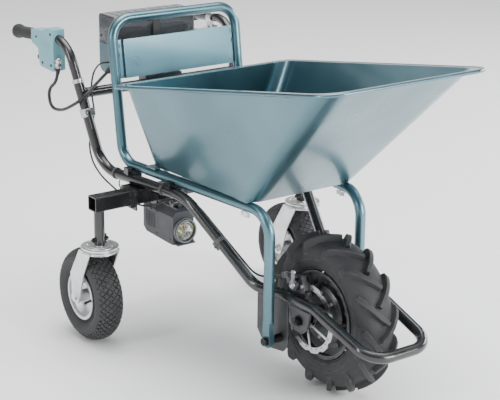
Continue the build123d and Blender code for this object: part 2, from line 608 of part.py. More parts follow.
def make_front_rim():
    half = FRONT_TYRE_WIDTH / 2
    flange, seat, drop, hub = RIM_FLANGE_DIA / 2, RIM_FLANGE_DIA / 2 - 6, RIM_FLANGE_DIA / 2 - 22, HUB_DIA / 2
    barrel = turned([(flange, -half + 9), (flange, -half + RIM_LIP), (seat, -half + RIM_LIP),
                     (seat, -half + 22),
                     (drop, -18), (drop, 18), (seat, half - 22), (seat, half - RIM_LIP), (flange,
                                                                                          half - RIM_LIP),
                     (flange, half - 9),
                     (seat - 3, half - 9), (seat - 3, half - 24), (drop - 3, 21), (drop - 3, -21),
                     (seat - 3, -half + 24), (seat - 3, -half + 9)])
    webs = [turned([(drop - 2, y - 3), (drop - 2, y + 3), (hub, y + 3), (hub, y - 3)]) for y in (-17, 17)]
    keep("front_rim", Pos(0, 0, AXLE_Z) * (barrel + webs))


def make_hub():
    """Motor hub: a closed drum on two bearings, with the brake's mounting boss on the right."""
    half, outer, boss = HUB_WIDTH / 2, HUB_DIA / 2, 24.0
    rotor_face = -ROTOR_OFFSET + ROTOR_THICKNESS / 2
    seat = AXLE_DIA / 2 + PIN_FIT
    shell = turned([(outer, -half + 6), (outer, half - 6), (outer - 8, half), (seat, half), (seat, half - 14),
                    (26, half - 14), (26, half - 5), (outer - 6, half - 8), (outer - 6, -half + 8), (26,
                                                                                                     -half + 5),
                    (26, -half + 14), (seat, -half + 14), (seat, -half), (boss - 10, -half), (boss - 10,
                                                                                              rotor_face),
                    (boss, rotor_face), (boss, -half), (outer - 8, -half)])
    keep("hub_motor_shell", Pos(0, 0, AXLE_Z) * shell)

    stator = ring((0, -20, AXLE_Z), (0, 20, AXLE_Z), HUB_DIA - 22, AXLE_DIA)
    slots = 18
    for i in range(slots):
        angle = 2 * pi * i / slots
        radius = HUB_DIA / 2 - 16
        stator -= pin((radius * cos(angle), -21, AXLE_Z + radius * sin(angle)),
                      (radius * cos(angle), 21, AXLE_Z + radius * sin(angle)), 7)
    keep("motor_stator", stator)

    inner_face = -FRONT_RUN_Y + 3
    core = pin((0, -inner_face - 21, AXLE_Z), (0, inner_face + 21, AXLE_Z), AXLE_DIA - 2)
    core += pin((0, -inner_face, AXLE_Z), (0, inner_face, AXLE_Z), AXLE_DIA)
    core += pin((0, half + 0.6, AXLE_Z), (0, inner_face, AXLE_Z), AXLE_DIA + 8)
    core += pin((0, -inner_face, AXLE_Z), (0, rotor_face - ROTOR_THICKNESS - 3, AXLE_Z), AXLE_DIA + 8)
    keep("wheel_axle", core)

    nuts = []
    for s in (-1, 1):
        face = s * (inner_face + 6)
        nut = hexagon((0, face + 2 * s, AXLE_Z), (0, face + 13 * s, AXLE_Z), 22)
        nut += pin((0, face, AXLE_Z), (0, face + 2 * s, AXLE_Z), 30)
        nuts.append(nut - pin((0, face - 1, AXLE_Z), (0, face + 14 * s, AXLE_Z), AXLE_DIA - 2)
                    - pin((0, face - 1 * s, AXLE_Z), (0, face + 14 * s, AXLE_Z), AXLE_DIA - 2))
    PARTS["frame_fasteners"] += nuts


def make_rotor():
    """Brake disc: a scalloped, drilled ring on six slanting arms, bolted to the hub's boss."""
    outer, inner, waves = ROTOR_DIA / 2, ROTOR_DIA / 2 - 15, 12
    disc = Circle(outer) - Circle(inner)
    scallop = 2 * pi / waves
    disc -= [Pos((outer + 10) * cos(i * scallop), (outer + 10) * sin(i * scallop)) * Circle(14) for i in range(waves)]
    disc -= [Pos((inner + 4.5) * cos((i + 0.5) * scallop / 2),
                 (inner + 4.5) * sin((i + 0.5) * scallop / 2)) * Circle(2.4)
             for i in range(2 * waves)]
    centre = Circle(24) - Circle(15)
    arms = 6
    sweep_back = radians(34)
    for i in range(arms):
        angle = 2 * pi * i / arms
        foot = Vector(21 * cos(angle), 21 * sin(angle))
        tip = Vector((inner + 4) * cos(angle + sweep_back), (inner + 4) * sin(angle + sweep_back))
        middle = (foot + tip) * 0.5
        disc += Pos(middle.X, middle.Y) * Rot(0, 0,
                                              degrees(atan2(tip.Y - foot.Y, tip.X - foot.X))) * Rectangle(
            (tip - foot).length, 6.5)
    disc += centre
    disc -= Circle(15)
    bolt_circle = 19.5
    bolts = []
    face = side_plane((0, -ROTOR_OFFSET + ROTOR_THICKNESS / 2, AXLE_Z))
    for i in range(arms):
        angle = 2 * pi * (i + 0.5) / arms
        disc -= Pos(bolt_circle * cos(angle), bolt_circle * sin(angle)) * Circle(2.6)
        x, z = bolt_circle * cos(angle), AXLE_Z + bolt_circle * sin(angle)
        face_y = -ROTOR_OFFSET - ROTOR_THICKNESS / 2
        bolts.append(pin((x, face_y, z), (x, face_y - 3, z), 7.5) + pin((x, face_y, z), (x, face_y + 2, z),
                                                                        5))
    keep("brake_rotor", extrude(face * disc, ROTOR_THICKNESS))
    keep("rotor_bolts", *bolts)


# ---------------------------------------------------------------- brake caliper
CALIPER_ANGLE = radians(112)
CALIPER_R = ROTOR_DIA / 2 - 4
CABLE_ANCHOR = Vector(-24, -27, 30)      # in the caliper's own directions: along the disc, across it, outward
CALIPER_AT = Vector(CALIPER_R * cos(CALIPER_ANGLE), -ROTOR_OFFSET, AXLE_Z + CALIPER_R * sin(CALIPER_ANGLE))


def make_caliper():
    tilt = 90 - degrees(CALIPER_ANGLE)
    body = fillet(Box(54, 34, 46).edges().filter_by(Axis.Y), 7)
    slot = Pos(0, 0, -12) * Box(60, ROTOR_THICKNESS + 3, 60)
    body -= slot
    barrel = Pos(0, -22, 2) * Rot(90, 0, 0) * Cylinder(15, 12)
    post = Pos(-22, -18, 20) * Box(14, 10, 26)
    anchor = Pos(*CABLE_ANCHOR) * Box(12, 14, 14)
    body = body + barrel + post + anchor
    place = Pos(*CALIPER_AT) * Rot(0, tilt, 0)
    foot = block((CALIPER_AT.X - 30, -ROTOR_OFFSET - 17, RAIL_FOOT_Z + 6),
                 (CALIPER_AT.X + 6, -ROTOR_OFFSET - 12,
                 CALIPER_AT.Z))
    rail = pin((FRONT_RUN_REAR_X, FRONT_RUN_Y, RAIL_FOOT_Z), (0, FRONT_RUN_Y, RAIL_FOOT_Z), RAIL_DIA)
    keep("brake_caliper", place * body + foot - rail)
    face = -28 - GAP
    arm = Pos(0, face - 2.5, 2) * Rot(90, 0, 0) * Cylinder(9, 5)
    arm += Pos(8, face - 2.5, 17) * Rot(0, 28, 0) * Box(9, 5, 34)
    arm += Pos(16, face - 2.5, 32) * Rot(90, 0, 0) * Cylinder(6, 5)
    keep("brake_arm", place * arm)
    return place


# ---------------------------------------------------------------- handles
GRIP_FRONT_X = -1004.0
GRIP_DIA = 33.0


def handle_path():
    start = RAIL_TOP - UPRIGHT * HANDLE_INSERTION
    return route([start, NECK, GRIP_END + GRIP_AXIS * -3], [80])


def make_handles():
    bar = tube_along(handle_path(), HANDLE_DIA, HANDLE_WALL)
    keep("handle_tube_right", bar)
    keep("handle_tube_left", mirrored(bar))

    front = on_grip(GRIP_FRONT_X)
    sleeve = ring(front, GRIP_END, GRIP_DIA, HANDLE_DIA)
    flare = ring(GRIP_END - GRIP_AXIS * 22, GRIP_END, GRIP_DIA + 8, HANDLE_DIA)
    cap = pin(GRIP_END - GRIP_AXIS * 3, GRIP_END, GRIP_DIA)
    grip = sleeve + flare + cap
    keep("grip_right", grip)
    keep("grip_left", mirrored(grip))

    collar = ring(RAIL_TOP - UPRIGHT * 7, RAIL_TOP + UPRIGHT * 3, RAIL_DIA + 2 * BAND_WALL, RAIL_DIA)
    collar = collar - pin(RAIL_TOP - UPRIGHT * 8, RAIL_TOP, RAIL_DIA)
    keep("handle_clamps", collar, mirrored(collar))


def make_height_clamps():
    """Split bands near the rails' top ends, each with a cam lever on a cross pin."""
    band = ring(CLAMP_AT - UPRIGHT * 11, CLAMP_AT + UPRIGHT * 11, RAIL_DIA + 8, RAIL_DIA)
    forward = Vector(UPRIGHT.Z, 0, -UPRIGHT.X).normalized()
    across = UPRIGHT.cross(forward)
    pivot = CLAMP_AT + forward * 26
    ears = Plane(origin=CLAMP_AT + forward * 23, x_dir=forward, z_dir=UPRIGHT) * Box(20, 15, 20)
    slit = Plane(origin=CLAMP_AT + forward * 25, x_dir=forward, z_dir=UPRIGHT) * Box(26, 3, 30)
    bolt = pin(pivot - across * 13, pivot + across * 10, 6)
    clamp = band + (ears - pin(CLAMP_AT - UPRIGHT * 20, CLAMP_AT + UPRIGHT * 20, RAIL_DIA)) - slit + bolt
    PARTS["handle_clamps"] += [clamp, mirrored(clamp)]

    reach = pivot - across * 10.8
    cam = ring(reach - across * 3, reach + across * 3, 15, 6 + 2 * PIN_FIT)
    paddle = Plane(origin=reach + forward * 3 - UPRIGHT * 24, x_dir=forward, z_dir=UPRIGHT) * Box(6, 6, 42)
    paddle -= pin(reach - across * 4, reach + across * 4, 12)
    lever = cam + paddle
    keep("height_lever_right", lever)
    keep("height_lever_left", mirrored(lever))
    return pivot


# ---------------------------------------------------------------- right-hand control
BOX_BACK_X, CONTROL_FRONT_X = -1000.0, -875.0
CONTROL_HALF = 18.0
CONTROL_LOW_Z = 677.0


def make_switch_box():
    """Hollow housing around the handle tube, with a deeper body below it for the switches."""
    y = NECK.Y
    top = on_grip(BOX_BACK_X).Z + 20
    outline = Polyline((BOX_BACK_X, top - 2), (-924, top + 6), (-914, top + 14), (CONTROL_FRONT_X, top + 14),
                       (CONTROL_FRONT_X, CONTROL_LOW_Z + 4), (CONTROL_FRONT_X - 6, CONTROL_LOW_Z),
                       (-948, CONTROL_LOW_Z + 4), (-956, CONTROL_LOW_Z + 12), (-962, 729), (BOX_BACK_X + 5,
                                                                                            740),
                       (BOX_BACK_X, 746), close=True)
    housing = extrude(side_plane((0, y, 0)) * make_face(outline), CONTROL_HALF, both=True)
    housing = fillet(housing.edges().filter_by(Axis.Y).group_by(Axis.Z)[0], 2)
    pocket = block((-938, y - CONTROL_HALF + 3, CONTROL_LOW_Z + 10),
                   (CONTROL_FRONT_X - 4, y + CONTROL_HALF - 3, 738))
    housing -= pocket
    housing -= rod_along(handle_path(), HANDLE_DIA)
    housing -= block((-968, y - 7, 694), (-936, y + 7, 724))
    button = pin((-905, y + CONTROL_HALF - 5, 712), (-905, y + CONTROL_HALF + 5, 712), 12.6)
    pivot = Vector(-930, y, 708)
    housing -= button
    housing += pin(pivot - Vector(0, CONTROL_HALF - 2, 0), pivot + Vector(0, CONTROL_HALF - 2, 0), 5)
    keep("switch_box", housing)

    lever = pin(pivot - Vector(0, 6, 0), pivot + Vector(0, 6, 0), 14)
    lever += block((-972, y - 6, 699), (-930, y + 6, 709))
    lever += pin((-974, y - 11, 702), (-974, y + 11, 702), 13)
    lever -= pin(pivot - Vector(0, 8, 0), pivot + Vector(0, 8, 0), 5 + 2 * PIN_FIT)
    keep("drive_lever", lever)

    keep("power_button", pin((-905, y + CONTROL_HALF - 4, 712), (-905, y + CONTROL_HALF + 3, 712), 12))
    return pivot


GLAND_AT = Vector(CONTROL_FRONT_X + 9.0, NECK.Y - 8.0, 709.0)
GLAND_OUT = Vector(0.02, -0.1, -0.99).normalized()


def make_gland():
    tip = GLAND_AT + GLAND_OUT * 20
    body = pin(GLAND_AT, tip, 14) + hexagon(GLAND_AT + GLAND_OUT * 8, GLAND_AT + GLAND_OUT * 15, 17)
    elbow = Pos(*GLAND_AT) * Sphere(8.5)
    stub = pin((CONTROL_FRONT_X - 10, GLAND_AT.Y, GLAND_AT.Z), GLAND_AT, 14)
    body = body + elbow + stub
    body -= block((CONTROL_FRONT_X - 30, NECK.Y - 30, 660), (CONTROL_FRONT_X, NECK.Y + 30, 740))
    keep("cable_gland", body)
    return tip


# ---------------------------------------------------------------- left-hand brake lever
PERCH_X = -918.0


def make_brake_lever():
    y = -NECK.Y
    at = on_grip(PERCH_X)
    centre = Vector(at.X, y, at.Z)
    axis = Vector(GRIP_AXIS.X, 0, GRIP_AXIS.Z).normalized()
    band = ring(centre - axis * 11, centre + axis * 11, HANDLE_DIA + 9, HANDLE_DIA)
    pivot = centre + Vector(-8, 0, -30)
    yoke = block((pivot.X - 9, y - 9, pivot.Z - 8), (pivot.X + 20, y + 9, centre.Z - 12))
    yoke -= pin(centre - axis * 40, centre + axis * 40, HANDLE_DIA)
    yoke -= block((pivot.X - 20, y - 4.3, pivot.Z - 14), (pivot.X + 10, y + 4.3, pivot.Z + 9))
    barrel = ring((pivot.X + 20, y, pivot.Z + 4), (pivot.X + 38, y, pivot.Z + 4), 10, THIN_CABLE_DIA)
    rivet = pin((pivot.X, y - 10, pivot.Z), (pivot.X, y + 10, pivot.Z), 5)
    keep("brake_perch", band + yoke + barrel + rivet)

    lever = ring((pivot.X, y - 4, pivot.Z), (pivot.X, y + 4, pivot.Z), 15, 5 + 2 * PIN_FIT)
    outline = Polyline((pivot.X, pivot.Z + 6), (pivot.X - 60, pivot.Z - 17), (pivot.X - 118, pivot.Z - 22),
                       (pivot.X - 118, pivot.Z - 32), (pivot.X - 64, pivot.Z - 28), (pivot.X,
                                                                                     pivot.Z - 6), close=True)
    blade = extrude(side_plane((0, y, 0)) * make_face(outline), 4, both=True)
    blade += pin((pivot.X - 118, y - 4, pivot.Z - 27), (pivot.X - 118, y + 4, pivot.Z - 27), 14)
    blade -= pin((pivot.X, y - 5, pivot.Z), (pivot.X, y + 5, pivot.Z), 12)
    keep("brake_lever", lever + blade)
    return pivot


# ---------------------------------------------------------------- battery box
HINGE_AT = Vector(BOX_REAR_X - 5.5, 0, BOX_SPLIT_Z)
LATCH_AT = Vector(BOX_FRONT_X + 6.0, 0, BOX_TOP_Z + 3.0)
HOOK_LOW_Z = BOX_SPLIT_Z - 17.0
PACK_LENGTH = 62.0
PACK_HEIGHT = 104.0
PACK_SETBACK = 8.0  # lets the edge of the lid swing past the packs
CORD_END = Vector(-828.0, -BOX_HALF_WIDTH - 8.0, 673.0)
CORD_END_FROM = Vector(-794.0, -181.0, 665.0)


def make_battery_box():
    low = (BOX_REAR_X, -BOX_HALF_WIDTH, BOX_BOTTOM_Z)
    case = block(low, (BOX_FRONT_X, BOX_HALF_WIDTH, BOX_SPLIT_Z))
    case = fillet(case.edges().filter_by(Axis.Y).group_by(Axis.Z)[0].sort_by(Axis.X)[0], 26)
    case = fillet(case.edges().filter_by(Axis.Z), 7)
    inside = block((BOX_REAR_X + BOX_WALL, -BOX_HALF_WIDTH + BOX_WALL, BOX_BOTTOM_Z + BOX_WALL),
                   (BOX_FRONT_X - BOX_WALL, BOX_HALF_WIDTH - BOX_WALL, BOX_SPLIT_Z + 1))
    inside = fillet(inside.edges().filter_by(Axis.Y).group_by(Axis.Z)[0].sort_by(Axis.X)[0], 24)
    case -= inside
    catch = block((BOX_FRONT_X, -12, HOOK_LOW_Z - GAP - 5), (BOX_FRONT_X + 5, 12, HOOK_LOW_Z - GAP))
    into_box = (CORD_END - CORD_END_FROM).normalized()
    boot = pin(CORD_END, CORD_END + into_box * 19, 15)
    case = case + catch + boot
    shelf = block((BOX_REAR_X + BOX_WALL + 22, -BOX_HALF_WIDTH + BOX_WALL, BOX_BOTTOM_Z + BOX_WALL),
                  (BOX_FRONT_X - BOX_WALL, BOX_HALF_WIDTH - BOX_WALL, BOX_BOTTOM_Z + 14))
    case += shelf
    for s in (-1, 1):
        case += pin((HINGE_AT.X, s * 60, HINGE_AT.Z), (HINGE_AT.X, s * 90, HINGE_AT.Z), 11)
        case += block((HINGE_AT.X, min(s * 60, s * 90), HINGE_AT.Z - 16),
                      (BOX_REAR_X + 1, max(s * 60, s * 90), HINGE_AT.Z))
    case += pin((HINGE_AT.X, -90, HINGE_AT.Z), (HINGE_AT.X, 90, HINGE_AT.Z), 4)
    keep("battery_case", case)

    packs = []
    for s in (-1, 1):
        y = s * (BOX_HALF_WIDTH / 2 - 2)
        pack = fillet(Box(PACK_LENGTH, 112, PACK_HEIGHT).edges().filter_by(Axis.Z), 8)
        x = BOX_FRONT_X - BOX_WALL - PACK_SETBACK - PACK_LENGTH / 2
        packs.append(Pos(x, y, BOX_BOTTOM_Z + 14 + PACK_HEIGHT / 2) * pack)
    keep("battery_packs", *packs)

    lid_low = BOX_SPLIT_Z + GAP
    lid = block((BOX_REAR_X, -BOX_HALF_WIDTH, lid_low), (BOX_FRONT_X, BOX_HALF_WIDTH, BOX_TOP_Z))
    lid = fillet(lid.edges().filter_by(Axis.Z), 7)
    lid = chamfer(lid.edges().group_by(Axis.Z)[-1], 4)
    lid -= block((BOX_REAR_X + BOX_WALL, -BOX_HALF_WIDTH + BOX_WALL, lid_low - 1),
                 (BOX_FRONT_X - BOX_WALL, BOX_HALF_WIDTH - BOX_WALL, BOX_TOP_Z - BOX_WALL))
    knuckle = pin((HINGE_AT.X, -55, HINGE_AT.Z), (HINGE_AT.X, 55, HINGE_AT.Z), 11)
    knuckle += block((HINGE_AT.X - 5.5, -55, HINGE_AT.Z), (BOX_REAR_X + 1, 55, HINGE_AT.Z + 14))
    knuckle -= block((BOX_REAR_X - GAP, -60, HINGE_AT.Z - 20), (BOX_REAR_X + 20, 60, lid_low))
    knuckle -= pin((HINGE_AT.X, -60, HINGE_AT.Z), (HINGE_AT.X, 60, HINGE_AT.Z), 4 + 2 * PIN_FIT)
    ears = [block((BOX_FRONT_X - 8, y - 3, BOX_TOP_Z - 4),
                  (LATCH_AT.X + 3, y + 3, LATCH_AT.Z + 4)) for y in (-17, 17)]
    pivot = pin((LATCH_AT.X, -20, LATCH_AT.Z), (LATCH_AT.X, 20, LATCH_AT.Z), 4)
    keep("battery_lid", lid + knuckle + ears + pivot)

    latch = ring((LATCH_AT.X, -13.5, LATCH_AT.Z), (LATCH_AT.X, 13.5, LATCH_AT.Z), 9, 4 + 2 * PIN_FIT)
    plate = block((BOX_FRONT_X + 4, -11, HOOK_LOW_Z), (BOX_FRONT_X + 7.5, 11, LATCH_AT.Z - 3))
    hook = block((BOX_FRONT_X + 0.5, -11, HOOK_LOW_Z), (BOX_FRONT_X + 7.5, 11, HOOK_LOW_Z + 5))
    thumb = block((LATCH_AT.X - 3, -11, LATCH_AT.Z + 3), (LATCH_AT.X + 4, 11, LATCH_AT.Z + 9))
    keep("lid_latch", latch + plate + hook + thumb)


def make_battery_bracket():
    tube_x, tube_z = CROSS_TUBE_AT.X, CROSS_TUBE_AT.Z
    plate = block((BOX_REAR_X + 30, -60, BOX_BOTTOM_Z - 3), (tube_x + 18, 60, BOX_BOTTOM_Z))
    saddle = block((tube_x - 18, -60, tube_z), (tube_x + 18, 60, BOX_BOTTOM_Z - 3))
    saddle -= pin((tube_x, -70, tube_z), (tube_x, 70, tube_z), RAIL_DIA)
    clip = block((tube_x - 12, -6, BOX_BOTTOM_Z), (tube_x - 7, 6, CROSSING_Z - THIN_CABLE_DIA / 2))
    keep("battery_bracket", plate + saddle + clip)


# ---------------------------------------------------------------- lamp
LAMP_PIVOT = Vector(-495.0, LAMP_NEAR_Y + LAMP_WIDTH / 2, LAMP_TOP_Z + 14.0)
LENS_Z = LAMP_BOTTOM_Z + 37.0


def make_lamp():
    near, far = LAMP_NEAR_Y, LAMP_NEAR_Y + LAMP_WIDTH
    side = Polyline((LAMP_REAR_X, LAMP_TOP_Z), (LAMP_REAR_X, LAMP_BOTTOM_Z + 16),
                    (LAMP_REAR_X + 14, LAMP_BOTTOM_Z + 4),
                    (LAMP_FRONT_X - 30, LAMP_BOTTOM_Z), (LAMP_FRONT_X, LAMP_BOTTOM_Z), (LAMP_FRONT_X,
                                                                                        LAMP_TOP_Z - 8),
                    (LAMP_FRONT_X - 8, LAMP_TOP_Z), close=True)
    end = Polyline((near, LAMP_BOTTOM_Z), (far, LAMP_BOTTOM_Z), (far, LAMP_TOP_Z - 8), (far - 8, LAMP_TOP_Z),
                   (near + 14, LAMP_TOP_Z), (near, LAMP_TOP_Z - 20), close=True)
    body = extrude(side_plane((0, near, 0)) * make_face(side), -LAMP_WIDTH)
    body &= extrude(Plane(origin=(LAMP_REAR_X, 0, 0), x_dir=(0, 1, 0), z_dir=(1, 0, 0)) * make_face(end),
                    LAMP_FRONT_X - LAMP_REAR_X)
    y = LAMP_PIVOT.Y
    body += pin((LAMP_FRONT_X - 2, y, LENS_Z), (LAMP_FRONT_X + 14, y, LENS_Z), LENS_DIA + 10)
    body += block((LAMP_FRONT_X - 2, near + 5, LAMP_BOTTOM_Z),
                  (LAMP_FRONT_X + 16, far - 5, LAMP_BOTTOM_Z + 4))
    body -= pin((LAMP_FRONT_X - 22, y, LENS_Z), (LAMP_FRONT_X + 15, y, LENS_Z), LENS_DIA)
    lug = pin((LAMP_PIVOT.X, y - 5, LAMP_PIVOT.Z), (LAMP_PIVOT.X, y + 5, LAMP_PIVOT.Z), 16)
    lug += block((LAMP_PIVOT.X - 8, y - 5, LAMP_TOP_Z - 1), (LAMP_PIVOT.X + 8, y + 5, LAMP_PIVOT.Z))
    lug -= pin((LAMP_PIVOT.X, y - 6, LAMP_PIVOT.Z), (LAMP_PIVOT.X, y + 6, LAMP_PIVOT.Z), 6 + 2 * PIN_FIT)
    keep("lamp_body", body + lug)
    lens = pin((LAMP_FRONT_X + 4, y, LENS_Z), (LAMP_FRONT_X + 9, y, LENS_Z), LENS_DIA)
    keep("lamp_lens", lens)

    rail_under = RAIL_Z - RAIL_DIA / 2
    x = LAMP_PIVOT.X
    plate = block((x - 22, rail_y(x) - 8, rail_under - 3), (x + 24, y + 12, rail_under))
    ears = [block((x - 9, y + s * 6.8 - 1.5, LAMP_PIVOT.Z - 9),
                  (x + 9, y + s * 6.8 + 1.5, rail_under - 2)) for s in (-1, 1)]
    bolt = pin((x, y - 24, LAMP_PIVOT.Z), (x, y + 12, LAMP_PIVOT.Z), 6)
    knob = pin((x, y - 22, LAMP_PIVOT.Z), (x, y - 8.3, LAMP_PIVOT.Z), 21)
    shield = block((x + 20, y - 18, rail_under - 30), (x + 24, y + 12, rail_under))
    keep("lamp_bracket", plate + ears + bolt + knob + shield)


# ---------------------------------------------------------------- cables
CROSSING_Z = 694.0


def corner_radii(points, share=0.45):
    """Largest tangent arcs that the runs on both sides of each corner allow."""
    radii = []
    for before, corner, after in zip(points, points[1:], points[2:]):
        into, out = Vector(*corner) - Vector(*before), Vector(*after) - Vector(*corner)
        turn = radians(into.get_angle(out))
        radii.append(share * min(into.length, out.length) / tan(turn / 2))
    return radii


def cable(name, points, dia):
    """Solid cable through hand-placed points; prints its bends and compares its volume with its length."""
    radii = corner_radii(points)
    path = route(points, radii)
    solid = rod_along(path, dia)
    ratio = solid.volume / (pi * dia ** 2 / 4 * path.length)
    print(f"{name}: length {path.length:.0f}, smallest bend {min(radii):.0f}, volume ratio {ratio:.4f}")
    print("   radii", [round(r) for r in radii])
    return solid


def control_cord_points(start):
    return [start, start + GLAND_OUT * 36, (-915, -284, 622), (-897, -288, 574), (-835, -290, 578),
            (-785, -286, 600),
            (-738, -275, 630), (-758, -228, 655), CORD_END_FROM, CORD_END]


def brake_cable_points(start, finish, arrival):
    inboard = RAIL_DIA / 2 + THIN_CABLE_DIA / 2 + BAND_WALL + 1.0
    points = [start, start + Vector(34, -2, 0), (-828, 226, 717), (-801, 176, 701), (-790, 118, CROSSING_Z),
              (-786, -96, CROSSING_Z), (-792, -146, 704), (-788, -192, 708), (-772, -222, 690), (-766,
                                                                                                 -234, 650),
              (-765, -230, 612), (-772, -221, 576), (-784, -226, 530), (-788, -232, 482), (-770, -233, 440),
              (-728, -230, 408),
              (-672, -222, 386), (-612, -208, 360), (-545, -190, 360), (-480, rail_y(-480) + inboard, 396)]
    points.append((RAIL_KNEE_X + 4, RAIL_KNEE_Y + inboard, RAIL_Z - 6))
    slope = Vector(RAIL_FOOT_X - RAIL_KNEE_X, RAIL_FOOT_Y - RAIL_KNEE_Y, RAIL_FOOT_Z - RAIL_Z)
    knee = Vector(RAIL_KNEE_X, RAIL_KNEE_Y + inboard, RAIL_Z)
    points.append(knee + slope * 0.5)
    points.append(knee + slope * 0.92 + Vector(0, 2, 2))
    points += [finish - arrival * 46, finish]
    return points


def make_cables(cord_start, lever_pivot, caliper):
    keep("control_cable", cable("control cable", control_cord_points(cord_start), CORD_DIA))
    start = Vector(lever_pivot.X + 38, -NECK.Y, lever_pivot.Z + 4)
    arrival = Vector(cos(radians(90 - degrees(CALIPER_ANGLE))), 0, -sin(radians(90 - degrees(CALIPER_ANGLE))))
    anchor = caliper * Pos(CABLE_ANCHOR.X - 6, CABLE_ANCHOR.Y, CABLE_ANCHOR.Z)
    finish = anchor.position
    keep("brake_cable", cable("brake cable", brake_cable_points(start, finish, arrival), THIN_CABLE_DIA))
    rear = Vector(LAMP_REAR_X, LAMP_PIVOT.Y - 8, LAMP_TOP_Z - 22)
    lead = [(-650, rail_y(-650) + 6, RAIL_Z - RAIL_DIA / 2 - 3), (-672, -209, 398), (-682, -192, 368),
            (-670, -164, 348),
            rear + Vector(-26, 0, 0), rear]
    keep("lamp_lead", cable("lamp lead", lead, 4.0))


def make_bands():
    """Bands round the rails that hold the cables, one with a small bolted tab."""
    solids = []
    for x in (-655.0, -462.0):
        ahead = Vector(RAIL_KNEE_X - RAIL_REAR_X, RAIL_KNEE_Y - RAIL_REAR_Y, 0).normalized()
        at = Vector(x, rail_y(x), RAIL_Z)
        solids.append(ring(at - ahead * 4, at + ahead * 4, RAIL_DIA + 2 * BAND_WALL, RAIL_DIA))
    slope = Vector(RAIL_FOOT_X - RAIL_KNEE_X, RAIL_FOOT_Y - RAIL_KNEE_Y, RAIL_FOOT_Z - RAIL_Z)
    knee = Vector(RAIL_KNEE_X, RAIL_KNEE_Y, RAIL_Z)
    at, ahead = knee + slope * 0.5, slope.normalized()
    band = ring(at - ahead * 5, at + ahead * 5, RAIL_DIA + 2 * BAND_WALL, RAIL_DIA)
    below = ahead.cross(Vector(0, 1, 0)).normalized()
    if below.Z > 0:
        below = below * -1
    tab = pin(at + below * (RAIL_DIA / 2 + 1), at + below * (RAIL_DIA / 2 + 16), 9)
    wing = Plane(origin=at + below * (RAIL_DIA / 2 + 12), x_dir=ahead, z_dir=below) * Box(24, 3, 7)
    solids.append(band + tab + wing)
    keep("cable_bands", *solids)


# ---------------------------------------------------------------- assembly
FREE_CORDS = ("control_cable",)


def build():
    make_rails()
    make_leg_brackets()
    make_dropouts()
    make_cross_tube()
    make_tub_frame()
    make_back_panel()
    make_tub()
    make_tub_straps()
    make_tub_bolts()
    make_leg_bolts()
    make_saddles()
    make_beam()
    make_caster_stems()
    make_caster()
    make_front_tyre()
    make_front_rim()
    make_hub()
    make_rotor()
    caliper = make_caliper()
    make_handles()
    make_height_clamps()
    make_switch_box()
    cord_start = make_gland()
    lever_pivot = make_brake_lever()
    make_battery_box()
    make_battery_bracket()
    make_lamp()
    make_cables(cord_start, lever_pivot, caliper)
    make_bands()


def centre_shift():
    """Shift along X that puts the middle of the object's length over the origin."""
    boxes = [solid.bounding_box() for node, solids in PARTS.items() if node not in FREE_CORDS for solid in solids]
    return -(min(b.min.X for b in boxes) + max(b.max.X for b in boxes)) / 2


def main():
    build()
    shift = centre_shift()
    print(f"{len(PARTS)} nodes, shift {shift:.3f}")
    os.makedirs("parts", exist_ok=True)
    for node, solids in PARTS.items():
        moved = [Pos(shift, 0, 0) * solid for solid in solids]
        export_step(Compound(label=node, children=moved), f"parts/{node}.step")


if __name__ == "__main__":
    main()
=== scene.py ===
"""Looks of the battery wheelbarrow: finishes, tyres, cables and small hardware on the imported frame."""
import json
from math import asin, atan2, cos, pi, radians, sin

import bmesh
import bpy
from bpy.props import FloatProperty, FloatVectorProperty, IntProperty, PointerProperty
from mathutils import Matrix, Vector


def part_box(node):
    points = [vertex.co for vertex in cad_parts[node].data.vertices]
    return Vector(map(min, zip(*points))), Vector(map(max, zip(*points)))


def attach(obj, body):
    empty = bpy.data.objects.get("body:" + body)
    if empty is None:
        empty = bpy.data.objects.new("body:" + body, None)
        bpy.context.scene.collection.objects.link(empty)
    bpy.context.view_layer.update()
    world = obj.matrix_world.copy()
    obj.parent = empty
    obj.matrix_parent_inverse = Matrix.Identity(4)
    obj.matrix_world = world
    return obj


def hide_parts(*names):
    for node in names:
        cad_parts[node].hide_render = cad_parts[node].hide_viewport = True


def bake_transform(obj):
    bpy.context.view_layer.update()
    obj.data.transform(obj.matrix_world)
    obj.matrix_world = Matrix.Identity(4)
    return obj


bl_info = {
    "name": "Power Wheelbarrow Looks",
    "version": (1, 0, 0),
    "blender": (4, 5, 0),
    "location": "View3D > Sidebar > Wheelbarrow",
    "description": "Dresses the wheelbarrow's frame with its finishes, tyres, cables and small hardware",
    "category": "Object",
}

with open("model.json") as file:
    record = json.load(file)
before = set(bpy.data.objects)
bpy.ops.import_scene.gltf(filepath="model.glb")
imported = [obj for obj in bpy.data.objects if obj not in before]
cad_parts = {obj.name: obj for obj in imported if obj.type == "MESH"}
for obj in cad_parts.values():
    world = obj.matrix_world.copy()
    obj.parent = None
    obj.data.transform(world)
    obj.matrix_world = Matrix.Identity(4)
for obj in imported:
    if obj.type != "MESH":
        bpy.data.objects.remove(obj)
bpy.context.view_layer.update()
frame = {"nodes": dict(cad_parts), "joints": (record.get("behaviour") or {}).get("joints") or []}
NODES = frame["nodes"]
JOINTS = {joint["name"]: joint for joint in frame["joints"]}


def joint_at(name):
    """Where a joint's axis passes, in metres."""
    return Vector(JOINTS[name]["pos_m"])


# ---------------------------------------------------------------- settings
def colour(name, description, default):
    return FloatVectorProperty(name=name, description=description, default=default, size=3, subtype="COLOR",
                               min=0.0, max=1.0)


def length(name, description, default):
    return FloatProperty(name=name, description=description, default=default, min=0.0, subtype="DISTANCE",
                         unit="LENGTH")


def angle(name, description, default):
    return FloatProperty(name=name, description=description, default=default, subtype="ANGLE", unit="ROTATION")


